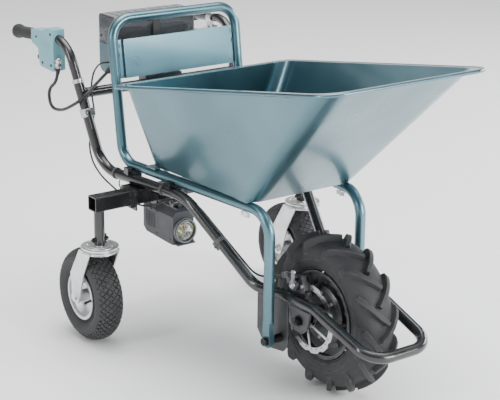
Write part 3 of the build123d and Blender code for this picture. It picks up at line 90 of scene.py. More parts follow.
def number(name, description, default):
    return IntProperty(name=name, description=description, default=default, min=3)


class WHEELBARROW_PG_finish(bpy.types.PropertyGroup):
    """Colours of the machine's paints, plastics and rubbers."""

    enamel: colour("Enamel", "Metallic teal enamel of the tub and its carrier", (0.105, 0.215, 0.258))
    enamel_shade: colour("Enamel shade", "Teal enamel where the flake lies deeper", (0.062, 0.14, 0.172))
    moulding: colour("Moulding", "Teal plastic of the switch box", (0.16, 0.35, 0.4))
    case: colour("Battery case", "Blue-grey plastic of the battery case", (0.07, 0.13, 0.16))
    gloss_black: colour("Gloss black", "Powder coat of the frame tubes", (0.012, 0.0125, 0.014))
    zinc: colour("Zinc", "Plating of forks, plates and caster rims", (0.83, 0.84, 0.85))
    rubber: colour("Rubber", "Tyre rubber", (0.024, 0.0245, 0.026))
    smoke: colour("Smoke", "Tint of the battery box's lid", (0.3, 0.31, 0.33))


class WHEELBARROW_PG_hardware(bpy.types.PropertyGroup):
    """Sizes of the pieces that the frame leaves out."""

    tread_depth: length("Tread depth", "Height of a caster's tread blocks", 0.0032)
    tread_rows: number("Tread rows", "Rows of blocks across a caster tyre", 9)
    tread_count: number("Tread count", "Blocks round a caster tyre in one row", 46)
    lug_height: length("Bar height", "Height of the drive tyre's bars over its carcass", 0.015)
    lug_width: length("Bar width", "Width of a bar's top", 0.0125)
    lug_count: number("Bars per side", "Bars on each side of the drive tyre", 14)
    lug_sweep: angle("Bar sweep", "How far round a bar runs from shoulder to tip", radians(23.0))
    lug_start: angle("Bar start", "Where round the tyre the first bar stands", radians(6.0))
    grip_rib: length("Grip rib", "Height of the ribs round a grip", 0.0009)
    bead: length("Weld bead", "Radius of a weld bead", 0.0022)
    cord: length("Control cord", "Diameter of the control cord", 0.009)


def finish_settings():
    return bpy.context.scene.wheelbarrow_finish


def hardware_settings():
    return bpy.context.scene.wheelbarrow_hardware


# ---------------------------------------------------------------- finishes
class Finish:
    """One material: its shader, and short calls for the nodes that colour and roughen it."""

    def __init__(self, name, metallic=0.0, roughness=0.5):
        self.material = bpy.data.materials.new(name)
        self.material.use_nodes = True
        self.nodes = self.material.node_tree.nodes
        self.links = self.material.node_tree.links
        self.shader = self.nodes["Principled BSDF"]
        self.set("Metallic", metallic)
        self.set("Roughness", roughness)
        self.place = self.nodes.new("ShaderNodeTexCoord").outputs["Object"]

    def set(self, socket, value):
        """A value that is the same all over the surface."""
        self.shader.inputs[socket].default_value = value

    def link(self, output, socket):
        self.links.new(output, self.shader.inputs[socket])

    def noise(self, scale, detail=3.0, roughness=0.55, stretch=(1, 1, 1)):
        mapping = self.nodes.new("ShaderNodeMapping")
        mapping.inputs["Scale"].default_value = stretch
        self.links.new(self.place, mapping.inputs["Vector"])
        noise = self.nodes.new("ShaderNodeTexNoise")
        noise.inputs["Scale"].default_value = scale
        noise.inputs["Detail"].default_value = detail
        noise.inputs["Roughness"].default_value = roughness
        self.links.new(mapping.outputs["Vector"], noise.inputs["Vector"])
        return noise.outputs["Fac"]

    def cells(self, scale):
        cells = self.nodes.new("ShaderNodeTexVoronoi")
        cells.inputs["Scale"].default_value = scale
        self.links.new(self.place, cells.inputs["Vector"])
        return cells.outputs["Distance"]

    def spread(self, value, low, high, to_low=0.0, to_high=1.0):
        """Stretches the part of a value between low and high over another range."""
        spread = self.nodes.new("ShaderNodeMapRange")
        for socket, number in zip(("From Min", "From Max", "To Min", "To Max"), (low, high, to_low, to_high)):
            spread.inputs[socket].default_value = number
        self.links.new(value, spread.inputs["Value"])
        return spread.outputs["Result"]

    def mix(self, share, first, second):
        """Blends two colours; each is a colour or another node's output."""
        mix = self.nodes.new("ShaderNodeMix")
        mix.data_type = "RGBA"
        self.links.new(share, mix.inputs["Factor"])
        for socket, tone in ((6, first), (7, second)):
            if isinstance(tone, bpy.types.NodeSocket):
                self.links.new(tone, mix.inputs[socket])
            else:
                mix.inputs[socket].default_value = (*tone, 1.0)
        return mix.outputs[2]

    def calculate(self, operation, first, second):
        calculate = self.nodes.new("ShaderNodeMath")
        calculate.operation = operation
        for socket, value in zip((0, 1), (first, second)):
            if isinstance(value, bpy.types.NodeSocket):
                self.links.new(value, calculate.inputs[socket])
            else:
                calculate.inputs[socket].default_value = value
        return calculate.outputs[0]

    def edges(self, radius, low=0.002, high=0.05):
        """1 along the outer edges, where the finishes lighten a coat as wear and as a painted edge highlight,
        and 0 on the flats.
        """
        bevel = self.nodes.new("ShaderNodeBevel")
        bevel.samples = 4
        bevel.inputs["Radius"].default_value = radius
        normal = self.nodes.new("ShaderNodeNewGeometry").outputs["Normal"]
        dot = self.nodes.new("ShaderNodeVectorMath")
        dot.operation = "DOT_PRODUCT"
        self.links.new(bevel.outputs["Normal"], dot.inputs[0])
        self.links.new(normal, dot.inputs[1])
        turn = self.calculate("SUBTRACT", 1.0, dot.outputs["Value"])
        return self.spread(turn, low, high)

    def bump(self, height, strength, distance=0.001, under=None):
        bump = self.nodes.new("ShaderNodeBump")
        bump.inputs["Strength"].default_value = strength
        bump.inputs["Distance"].default_value = distance
        self.links.new(height, bump.inputs["Height"])
        if under is not None:
            self.links.new(under, bump.inputs["Normal"])
        self.link(bump.outputs["Normal"], "Normal")
        return bump.outputs["Normal"]

    def vary_roughness(self, value, low, high):
        self.link(self.spread(value, 0.3, 0.7, low, high), "Roughness")


def enamel(name):
    """Metallic teal enamel: fine flake, slow colour drift, orange peel and pale edges, partly scuffs and partly
    a painted edge highlight.
    """
    settings = finish_settings()
    finish = Finish(name, metallic=0.85, roughness=0.28)
    drift = finish.noise(3.5, 2.0)
    flake = finish.cells(1400.0)
    tone = finish.mix(finish.spread(drift, 0.3, 0.7), tuple(settings.enamel), tuple(settings.enamel_shade))
    bright = [min(1.0, c * 1.35) for c in settings.enamel]
    tone = finish.mix(finish.spread(flake, 0.0, 0.35, 0.35, 0.0), tone, bright)
    # pale edges: partly worn scuffs, partly a painted edge highlight
    wear_and_edge_highlight = finish.calculate("MULTIPLY", finish.edges(0.0016), finish.spread(finish.noise(60.0), 0.5, 0.66))
    finish.link(finish.mix(wear_and_edge_highlight, tone, (0.42, 0.45, 0.46)), "Base Color")
    finish.vary_roughness(finish.noise(9.0, 4.0), 0.26, 0.37)
    finish.set("Coat Weight", 0.55)
    finish.set("Coat Roughness", 0.12)
    finish.bump(finish.noise(210.0, 2.0), 0.06, 0.0006)
    return finish.material


def powder_black(name):
    """Gloss black powder coat: slight orange peel, dust in the roughness and grey edges, partly bare metal
    where they rub and partly a painted edge highlight.
    """
    finish = Finish(name, roughness=0.22)
    base = tuple(finish_settings().gloss_black)
    dust = finish.noise(14.0, 5.0, 0.65)
    tone = finish.mix(finish.spread(dust, 0.45, 0.8, 0.0, 0.35), base, (0.045, 0.045, 0.046))
    # grey edges: partly rubbed bare metal, partly a painted edge highlight
    wear_and_edge_highlight = finish.calculate("MULTIPLY", finish.edges(0.0012), finish.spread(finish.noise(85.0), 0.52, 0.64))
    finish.link(finish.mix(wear_and_edge_highlight, tone, (0.22, 0.22, 0.22)), "Base Color")
    finish.vary_roughness(dust, 0.15, 0.32)
    finish.set("Coat Weight", 0.5)
    finish.set("Coat Roughness", 0.08)
    finish.bump(finish.noise(330.0, 2.0), 0.09, 0.0006)
    return finish.material


def satin_paint(name, tone, wear_and_highlight_tone=(0.3, 0.3, 0.3), roughness=0.45, metallic=0.2):
    """Satin paint or dark plating with soft mottling and lighter edges, partly wear and partly a painted edge
    highlight.
    """
    finish = Finish(name, metallic=metallic, roughness=roughness)
    mottle = finish.noise(26.0, 5.0)
    lighter = [min(1.0, c * 1.5 + 0.01) for c in tone]
    mixed = finish.mix(finish.spread(mottle, 0.35, 0.75), tone, lighter)
    # edge tone: partly wear, partly a painted edge highlight
    wear_and_edge_highlight = finish.calculate("MULTIPLY", finish.edges(0.001), finish.spread(finish.noise(95.0), 0.46, 0.62))
    finish.link(finish.mix(wear_and_edge_highlight, mixed, wear_and_highlight_tone), "Base Color")
    finish.vary_roughness(mottle, roughness - 0.1, roughness + 0.12)
    finish.bump(finish.noise(420.0, 2.0), 0.12, 0.0005)
    return finish.material


def plated(name, tone, roughness=0.3, stretch=(1, 1, 1)):
    """Zinc or nickel plating: cloudy brightness, fine drawn lines and a little dulling."""
    finish = Finish(name, metallic=1.0, roughness=roughness)
    cloud = finish.noise(22.0, 4.0)
    lines = finish.noise(160.0, 3.0, 0.7, stretch)
    dark = [c * 0.8 for c in tone]
    finish.link(finish.mix(finish.spread(cloud, 0.35, 0.7), tone, dark), "Base Color")
    finish.vary_roughness(lines, roughness - 0.08, roughness + 0.14)
    finish.bump(lines, 0.08, 0.0004)
    return finish.material


def turned_steel(name, tone, centre):
    """Ground disc: fine rings round the wheel's axis."""
    finish = Finish(name, metallic=1.0, roughness=0.28)
    offset = finish.nodes.new("ShaderNodeVectorMath")
    offset.operation = "SUBTRACT"
    offset.inputs[1].default_value = centre
    finish.links.new(finish.place, offset.inputs[0])
    distance = finish.nodes.new("ShaderNodeVectorMath")
    distance.operation = "LENGTH"
    finish.links.new(offset.outputs["Vector"], distance.inputs[0])
    rings = finish.nodes.new("ShaderNodeTexNoise")
    rings.noise_dimensions = "1D"
    rings.inputs["Scale"].default_value = 1500.0
    rings.inputs["Detail"].default_value = 2.0
    finish.links.new(distance.outputs["Value"], rings.inputs["W"])
    dark = [c * 0.72 for c in tone]
    finish.link(finish.mix(rings.outputs["Fac"], tone, dark), "Base Color")
    finish.vary_roughness(rings.outputs["Fac"], 0.18, 0.4)
    finish.bump(rings.outputs["Fac"], 0.15, 0.0004)
    return finish.material


def rubber(name, tone, roughness=0.7, grain=260.0, dust=0.25):
    """Moulded rubber: fine grain, grey bloom and scuffed edges."""
    finish = Finish(name, roughness=roughness)
    bloom = finish.noise(11.0, 5.0, 0.6)
    pale = [min(1.0, c * 2.2 + 0.02) for c in tone]
    mixed = finish.mix(finish.spread(bloom, 0.42, 0.8, 0.0, dust), tone, pale)
    patches = finish.spread(finish.noise(48.0), 0.4, 0.7, 0.0, 0.6)
    scuffed = finish.calculate("MULTIPLY", finish.edges(0.0016), patches)
    finish.link(finish.mix(scuffed, mixed, (0.16, 0.16, 0.16)), "Base Color")
    finish.vary_roughness(bloom, roughness - 0.12, roughness + 0.12)
    finish.bump(finish.noise(grain, 4.0), 0.25, 0.0006)
    return finish.material


def moulded(name, tone, roughness=0.4, grain=520.0, relief=0.15):
    """Moulded plastic: spark-eroded grain, faint flow marks and a painted sheen that lightens every edge."""
    finish = Finish(name, roughness=roughness)
    flow = finish.noise(7.0, 3.0)
    light = [min(1.0, c * 1.18 + 0.004) for c in tone]
    mixed = finish.mix(finish.spread(flow, 0.35, 0.7), tone, light)
    # painted sheen: all edges lightened in the colour
    painted_edge_sheen = finish.spread(finish.edges(0.0012), 0.0, 1.0, 0.0, 0.35)
    finish.link(finish.mix(painted_edge_sheen, mixed, [min(1.0, c * 1.6 + 0.05) for c in tone]), "Base Color")
    finish.vary_roughness(finish.noise(30.0, 4.0), roughness - 0.07, roughness + 0.1)
    finish.bump(finish.cells(grain), relief, 0.0004)
    return finish.material


def smoked(name):
    """Smoked see-through moulding with fine scratches."""
    finish = Finish(name, roughness=0.1)
    scratches = finish.noise(90.0, 6.0, 0.7, (1, 12, 1))
    tint = tuple(finish_settings().smoke)
    pale = [c * 1.5 for c in tint]
    finish.link(finish.mix(finish.spread(scratches, 0.5, 0.75, 0.0, 0.3), tint, pale), "Base Color")
    finish.vary_roughness(scratches, 0.06, 0.2)
    finish.set("Transmission Weight", 0.88)
    finish.set("IOR", 1.49)
    return finish.material


def lens_glass(name):
    """Clear lamp lens with a moulded ripple."""
    finish = Finish(name, roughness=0.05)
    finish.set("Base Color", (0.95, 0.97, 0.98, 1.0))
    finish.set("Transmission Weight", 0.95)
    finish.set("IOR", 1.5)
    finish.vary_roughness(finish.noise(60.0), 0.02, 0.1)
    finish.bump(finish.cells(120.0), 0.2, 0.0008)
    return finish.material


def weld_metal(name):
    """Painted weld: dark, lumpy and a little scorched."""
    finish = Finish(name, metallic=0.5, roughness=0.42)
    scorch = finish.noise(140.0, 4.0)
    finish.link(finish.mix(scorch, (0.02, 0.02, 0.022), (0.07, 0.068, 0.066)), "Base Color")
    finish.vary_roughness(scorch, 0.3, 0.55)
    finish.bump(finish.noise(420.0, 3.0), 0.5, 0.0008)
    return finish.material


FINISHES = {}


def make_finishes():
    """Every finish of the machine, by the name of what it covers."""
    settings = finish_settings()
    zinc = tuple(settings.zinc)
    black = tuple(settings.rubber)
    FINISHES.update({
        "enamel": enamel("metallic_enamel"),
        "tube": powder_black("powder_coat"),
        "plate": satin_paint("plate_paint", (0.05, 0.052, 0.056)),
        "bolt": satin_paint("bolt_oxide", (0.02, 0.02, 0.021), (0.35, 0.35, 0.35), 0.38, 0.8),
        "zinc": plated("zinc_plate", zinc, 0.33),
        "wheel_zinc": plated("caster_rim_plate", [c * 0.86 for c in zinc], 0.4),
        "nickel": plated("nickel_plate", (0.7, 0.69, 0.67), 0.2),
        "disc": turned_steel("brake_disc_steel", (0.74, 0.74, 0.74), joint_at("front_wheel_spin")),
        "alloy": satin_paint("dark_alloy", (0.09, 0.09, 0.095), (0.5, 0.5, 0.5), 0.36, 0.9),
        "bright_alloy": plated("bright_alloy", (0.66, 0.67, 0.68), 0.34),
        "rim": satin_paint("rim_paint", (0.065, 0.068, 0.072), (0.3, 0.3, 0.3), 0.36, 0.4),
        "tyre": rubber("drive_tyre_rubber", black, 0.66),
        "caster_tyre": rubber("caster_tyre_rubber", [c * 1.15 for c in black], 0.72, 320.0, 0.35),
        "grip": rubber("grip_rubber", (0.02, 0.02, 0.021), 0.6, 700.0, 0.15),
        "cable": moulded("cable_sheath", (0.012, 0.012, 0.013), 0.38, 900.0, 0.06),
        "switch": moulded("switch_moulding", tuple(settings.moulding), 0.36),
        "case": moulded("case_moulding", tuple(settings.case), 0.38),
        "black_plastic": moulded("black_moulding", (0.018, 0.018, 0.019), 0.42),
        "lamp": moulded("lamp_moulding", (0.05, 0.054, 0.06), 0.46, 620.0, 0.25),
        "lamp_edge": moulded("lamp_bezel", (0.16, 0.17, 0.185), 0.36),
        "lid": smoked("smoked_lid"),
        "lens": lens_glass("lamp_lens_glass"),
        "reflector": plated("lamp_reflector", (0.92, 0.92, 0.92), 0.1),
        "button": moulded("button_moulding", (0.42, 0.02, 0.015), 0.3),
        "winding": satin_paint("stator_stack", (0.25, 0.13, 0.07), (0.5, 0.3, 0.2), 0.5, 0.6),
        "weld": weld_metal("weld_bead"),
        "phosphor": moulded("led_phosphor", (0.85, 0.72, 0.22), 0.4),
    })


NODE_FINISH = {
    "enamel": ("tub", "tub_hoop", "tub_tube_left", "tub_tube_right", "back_panel", "tub_straps"),
    "tube": ("frame_rail_left", "frame_rail_right", "front_bumper", "handle_cross_tube", "outrigger_beam",
             "caster_stems", "handle_tube_left", "handle_tube_right", "beam_brackets", "battery_bracket",
             "lamp_bracket", "pipe_saddles"),
    "plate": ("frame_plates", "cable_bands"),
    "bolt": ("frame_fasteners", "rotor_bolts", "wheel_axle"),
    "zinc": ("caster_plates", "caster_fork_left", "caster_fork_right", "caster_axle_left",
             "caster_axle_right", "tub_bolts"),
    "wheel_zinc": ("caster_rim_left", "caster_rim_right"),
    "nickel": ("cable_gland",),
    "disc": ("brake_rotor",),
    "alloy": ("hub_motor_shell", "brake_caliper"),
    "bright_alloy": ("handle_clamps", "brake_perch", "brake_lever", "brake_arm"),
    "rim": ("front_rim",),
    "tyre": ("front_tyre",),
    "caster_tyre": ("caster_tyre_left", "caster_tyre_right"),
    "grip": ("grip_left", "grip_right"),
    "cable": ("brake_cable", "lamp_lead", "control_cable"),
    "switch": ("switch_box",),
    "case": ("battery_case",),
    "lid": ("battery_lid",),
    "black_plastic": ("battery_packs", "height_lever_left", "height_lever_right", "drive_lever", "lid_latch"),
    "lamp": ("lamp_body",),
    "lens": ("lamp_lens",),
    "button": ("power_button",),
    "winding": ("motor_stator",),
}


# ---------------------------------------------------------------- mesh building
def axis_frame(origin, axis):
    """Matrix whose local z runs along the axis."""
    turn = Vector(axis).normalized().to_track_quat("Z", "Y").to_matrix().to_4x4()
    return Matrix.Translation(Vector(origin)) @ turn


def lathe(bm, origin, axis, profile, segments=32):
    """Solid of revolution from a closed loop of (radius, along) points."""
    place = axis_frame(origin, axis)
    rings = []
    for i in range(segments):
        c, s = cos(2 * pi * i / segments), sin(2 * pi * i / segments)
        rings.append([bm.verts.new(place @ Vector((r * c, r * s, along))) for r, along in profile])
    for i, ring in enumerate(rings):
        following = rings[(i + 1) % segments]
        for j in range(len(profile)):
            k = (j + 1) % len(profile)
            bm.faces.new((ring[j], ring[k], following[k], following[j]))


def sweep_ring(bm, points, radius, sides=8, closed=False, flatten=1.0):
    """Tube through points; radius is a number or a function of the point's index."""
    count = len(points)
    tangents = []
    for i in range(count):
        before = points[(i - 1) % count] if closed or i > 0 else points[0]
        after = points[(i + 1) % count] if closed or i < count - 1 else points[-1]
        tangents.append((after - before).normalized())
    normal = tangents[0].orthogonal().normalized()
    rings = []
    for i, (point, tangent) in enumerate(zip(points, tangents)):
        normal = (normal - tangent * normal.dot(tangent)).normalized()
        side = tangent.cross(normal)
        size = radius(i) if callable(radius) else radius
        rings.append([bm.verts.new(point + normal * size * cos(2 * pi * j / sides)
                                   + side * size * flatten * sin(2 * pi * j / sides)) for j in range(sides)])
    spans = count if closed else count - 1
    for i in range(spans):
        ring, following = rings[i], rings[(i + 1) % count]
        for j in range(sides):
            k = (j + 1) % sides
            bm.faces.new((ring[j], ring[k], following[k], following[j]))
    if not closed:
        bm.faces.new(rings[0][::-1])
        bm.faces.new(rings[-1])


def circle(origin, axis, radius, count):
    """Points round a circle."""
    place = axis_frame(origin, axis)
    turns = [2 * pi * i / count for i in range(count)]
    return [place @ Vector((radius * cos(turn), radius * sin(turn), 0)) for turn in turns]


def hoop(bm, origin, axis, radius, thick, count=48, sides=8):
    """Round bead along a circle."""
    sweep_ring(bm, circle(origin, axis, radius, count), thick, sides, True)


def hex_bolt(bm, origin, axis, across=0.010, height=0.005, washer=True):
    """Chamfered hexagon head standing on a washer."""
    lift = 0.0012 if washer else 0.0
    if washer:
        reach = across * 0.78
        disc = [(0.0, 0.0), (reach, 0.0), (reach, lift * 0.8), (across * 0.72, lift), (0.0, lift)]
        lathe(bm, origin, axis, disc, 24)
    corner = across / 2 / cos(pi / 6)
    top = lift + height
    head = [(0.0, lift), (corner, lift), (corner, lift + height * 0.8), (corner * 0.86, top), (0.0, top)]
    lathe(bm, origin, axis, head, 6)


def cap_screw(bm, origin, axis, head=0.008, height=0.004):
    """Round head with a six-sided socket."""
    r = head / 2
    floor = height * 0.4
    outline = [(r * 0.5, floor), (r * 0.5, height), (r * 0.86, height), (r, height * 0.8), (r, 0.0), (0.0, 0.0),
               (0.0, floor)]
    lathe(bm, origin, axis, outline, 18)


def weld_line(bm, points, radius):
    """Rippled bead along a path."""
    fine = []
    for a, b in zip(points, points[1:]):
        steps = max(2, int((b - a).length / (radius * 0.7)))
        fine += [a.lerp(b, i / steps) for i in range(steps)]
    fine.append(points[-1])
    sweep_ring(bm, fine, lambda i: radius * (0.82 + 0.18 * (i % 3)), 8)


def slab(bm, low, high, ease=0.0):
    """Box between two corners, its long edges eased."""
    low, high = Vector(low), Vector(high)
    made = bmesh.ops.create_cube(bm, size=1.0)
    size, centre = high - low, (low + high) / 2
    for vertex in made["verts"]:
        vertex.co = centre + Vector([vertex.co[i] * size[i] for i in range(3)])
    if ease:
        edges = list({edge for vertex in made["verts"] for edge in vertex.link_edges})
        bmesh.ops.bevel(bm, geom=edges, offset=ease, segments=2, affect="EDGES", profile=0.7)


def piece(name, bm, finish, body, sharp=35.0):
    """Turns the mesh under construction into a piece that rides on a body."""
    bmesh.ops.remove_doubles(bm, verts=bm.verts, dist=1e-6)
    bmesh.ops.recalc_face_normals(bm, faces=bm.faces)
    mesh = bpy.data.meshes.new(name)
    bm.to_mesh(mesh)
    bm.free()
    mesh.shade_smooth()
    mesh.set_sharp_from_angle(angle=radians(sharp))
    mesh.materials.append(FINISHES[finish])
    thing = bpy.data.objects.new(name, mesh)
    bpy.context.scene.collection.objects.link(thing)
    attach(thing, body)
    return thing


class Maker(bpy.types.Operator):
    """Shared ground of the operators: each makes its pieces once."""

    bl_options = {"REGISTER", "UNDO"}

    def execute(self, context):
        self.make(hardware_settings())
        return {"FINISHED"}


class WHEELBARROW_OT_finishes(Maker):
    """Make the finishes and put them on the frame's own parts"""

    bl_idname = "wheelbarrow.finishes"
    bl_label = "Finishes"

    def make(self, sizes):
        make_finishes()
        for finish, nodes in NODE_FINISH.items():
            for node in nodes:
                mesh = NODES[node].data
                mesh.materials.clear()
                mesh.materials.append(FINISHES[finish])


# ---------------------------------------------------------------- caster tyres
class CasterTyre:
    """Oval section of a caster tyre round its wheel centre."""

    def __init__(self, side):
        low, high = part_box(f"caster_tyre_{side}")
        rim_low, rim_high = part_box(f"caster_rim_{side}")
        self.centre = joint_at(f"caster_{side}_spin")
        self.outer = (high.z - low.z) / 2
        self.bead = (rim_high.z - rim_low.z) / 2 - 0.002
        self.half = (high.y - low.y) / 2
        self.rise = (self.outer - self.bead) / 2
        self.middle = (self.outer + self.bead) / 2

    def point(self, lean, turn, sink=0.0):
        """Point on the section at that lean from the crown, that turn round the axle and that far inside."""
        reach = self.middle + (self.rise - sink) * cos(lean)
        return self.centre + Vector((reach * cos(turn), (self.half - sink) * sin(lean), reach * sin(turn)))


def caster_tyre_mesh(tyre, sizes):
    """Carcass with bead, sidewall rings and rows of staggered diamond blocks."""
    bm = bmesh.new()
    carcass = []
    for step in range(41):
        lean = radians(-140 + 7 * step)
        sink = sizes.tread_depth if abs(lean) < radians(66) else 0.0004
        if radians(88) < abs(lean) < radians(96):
            sink = -0.0004
        carcass.append(((tyre.middle + (tyre.rise - sink) * cos(lean)), (tyre.half - sink) * sin(lean)))
    seat = tyre.bead - 0.001
    inner = [(seat, 0.8 * tyre.half), (seat, -0.8 * tyre.half)]
    lathe(bm, tyre.centre, (0, 1, 0), carcass + inner, 72)
    span = radians(61)
    pitch = 2 * pi / sizes.tread_count
    for row in range(sizes.tread_rows):
        lean = -span + 2 * span * row / (sizes.tread_rows - 1)
        across = span / (sizes.tread_rows - 1) * 1.72
        for i in range(sizes.tread_count):
            turn = pitch * (i + 0.5 * (row % 2))
            corners = ((0.0, -0.46 * pitch), (across, 0.0), (0.0, 0.46 * pitch), (-across, 0.0))
            foot = [bm.verts.new(tyre.point(lean + a, turn + t, sizes.tread_depth)) for a, t in corners]
            face = [bm.verts.new(tyre.point(lean + a * 0.8, turn + t * 0.8, 0.0)) for a, t in corners]
            bm.faces.new(face)
            for j in range(4):
                k = (j + 1) % 4
                bm.faces.new((foot[j], foot[k], face[k], face[j]))
    return bm


class WHEELBARROW_OT_caster_wheels(Maker):
    """Make the block-treaded caster tyres, their valves and the forks' small hardware"""

    bl_idname = "wheelbarrow.caster_wheels"
    bl_label = "Caster wheels"

    def make(self, sizes):
        for side in ("left", "right"):
            tyre = CasterTyre(side)
            made = piece(f"caster_block_tyre_{side}", caster_tyre_mesh(tyre, sizes), "caster_tyre",
                         f"caster_wheel_{side}", 28.0)
            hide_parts(f"caster_tyre_{side}")
            self.rim_hardware(side, tyre)
            self.fork_hardware(side)

    def rim_hardware(self, side, tyre):
        """Valve, five rim bolts and bearing shields."""
        bm = bmesh.new()
        outward = -1 if side == "right" else 1
        centre = tyre.centre
        for i in range(5):
            turn = 2 * pi * (i + 0.5) / 5
            for way in (-1, 1):
                at = centre + Vector((0.036 * cos(turn), way * 0.0118, 0.036 * sin(turn)))
                hex_bolt(bm, at, (0, way, 0), 0.009, 0.005)
        for way in (-1, 1):
            at = centre + Vector((0, way * 0.0405, 0))
            lathe(bm, at, (0, way, 0), [(0.0075, -0.006), (0.0152, -0.006), (0.0156, 0.0), (0.013, 0.0006),
                                        (0.0115, -0.0004), (0.0075, -0.0004)], 28)
        piece(f"caster_rim_hardware_{side}", bm, "bright_alloy", f"caster_wheel_{side}")
        bm = bmesh.new()
        foot = centre + Vector((0.047, outward * 0.02, 0.0))
        stem = [(0.0, 0.0), (0.0052, 0.0), (0.004, 0.01), (0.0032, 0.012), (0.0032, 0.024), (0.004, 0.025),
                (0.004, 0.031), (0.0, 0.032)]
        lathe(bm, foot, (0.25, outward, 0), stem, 16)
        piece(f"caster_valve_{side}", bm, "black_plastic", f"caster_wheel_{side}")

    def fork_hardware(self, side):
        """Pressed ring, rivets and grease nipple of the swivel."""
        stem = joint_at(f"caster_{side}_swivel")
        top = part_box("caster_stems")[0].z - 0.002
        bm = bmesh.new()
        hoop(bm, (stem.x, stem.y, top), (0, 0, 1), 0.040, 0.0016, 56)
        hoop(bm, (stem.x, stem.y, top), (0, 0, 1), 0.0265, 0.0012)
        for i in range(4):
            turn = 2 * pi * (i + 0.5) / 4
            at = (stem.x + 0.0335 * cos(turn), stem.y + 0.0335 * sin(turn), top)
            rivet = [(0.0, -0.0005), (0.0036, -0.0005), (0.0036, 0.0012), (0.0024, 0.0022), (0.0, 0.0026)]
            lathe(bm, at, (0, 0, 1), rivet, 18)
        piece(f"caster_plate_pressing_{side}", bm, "zinc", "frame")
        bm = bmesh.new()
        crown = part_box(f"caster_fork_{side}")[1].z
        hoop(bm, (stem.x, stem.y, crown - 0.0034), (0, 0, 1), 0.0475, 0.0013, 60)
        foot = (stem.x - 0.0475, stem.y, crown - 0.004)
        nipple = [(0.0, 0.0), (0.003, 0.0), (0.003, 0.003), (0.0016, 0.004), (0.0022, 0.007), (0.0, 0.008)]
        lathe(bm, foot, (-1, 0, 0.1), nipple, 14)
        piece(f"caster_crown_pressing_{side}", bm, "zinc", f"caster_swivel_{side}")


# ---------------------------------------------------------------- drive wheel
class DriveTyre:
    """Balloon section of the drive tyre and the bars that stand on it."""

    def __init__(self, lug_height):
        low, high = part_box("front_tyre")
        self.centre = joint_at("front_wheel_spin")
        self.half = (high.y - low.y) / 2
        self.outer = (high.z - low.z) / 2
        self.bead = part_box("front_rim")[1].z - self.centre.z - 0.006
        self.crown = self.outer - lug_height
        self.middle = (self.crown + self.bead) / 2
        self.lug_height = lug_height

    def section(self, lean):
        """Radius and offset from the wheel's middle plane, at that lean from the crown."""
        rise = self.crown - self.middle
        squareness = 0.75 if abs(lean) < pi / 2 else 1.0
        radius = self.middle + rise * abs(cos(lean)) ** squareness * (1 if abs(lean) < pi / 2 else -1)
        fullness = 0.85 if abs(lean) < pi / 2 else 0.6
        return radius, (self.half - 0.001) * abs(sin(lean)) ** fullness * (1 if lean > 0 else -1)

    def place(self, radius, offset, turn):
        return self.centre + Vector((radius * cos(turn), offset, radius * sin(turn)))


def lug(bm, tyre, side, shoulder, sizes):
    """One bar: radial block on the shoulder, then a long slope to the middle of the tread."""
    stations, shoulder_share = 14, 0.22
    path = []
    for i in range(stations):
        share = i / (stations - 1)
        lean = radians(84 - 92 * share)
        turn = shoulder - sizes.lug_sweep * max(0.0, (share - shoulder_share) / (1 - shoulder_share)) ** 1.05
        radius, offset = tyre.section(lean)
        tip = max(0.0, lean) * 0.5
        height = min(tyre.lug_height, (tyre.half + 0.0005 - abs(offset)) / max(sin(tip), 0.05))
        foot = tyre.place(radius, side * offset, turn)
        up = Vector((cos(tip) * cos(turn), side * sin(tip), cos(tip) * sin(turn)))
        path.append((foot, up, height, share))
    rings = []
    for i, (foot, up, height, share) in enumerate(path):
        before, after = path[max(i - 1, 0)][0], path[min(i + 1, stations - 1)][0]
        across = (after - before).cross(up).normalized()
        half = sizes.lug_width / 2 * (1.12 - 0.3 * share)
        outline = ((-half - 0.0022, -0.003), (-half, height - 0.0012), (-half + 0.0012, height),
                   (half - 0.0012, height), (half, height - 0.0012), (half + 0.0022, -0.003))
        rings.append([bm.verts.new(foot + across * u + up * v) for u, v in outline])
    for ring, following in zip(rings, rings[1:]):
        for j in range(6):
            k = (j + 1) % 6
            bm.faces.new((ring[j], ring[k], following[k], following[j]))
    bm.faces.new(rings[0][::-1])
    bm.faces.new(rings[-1])


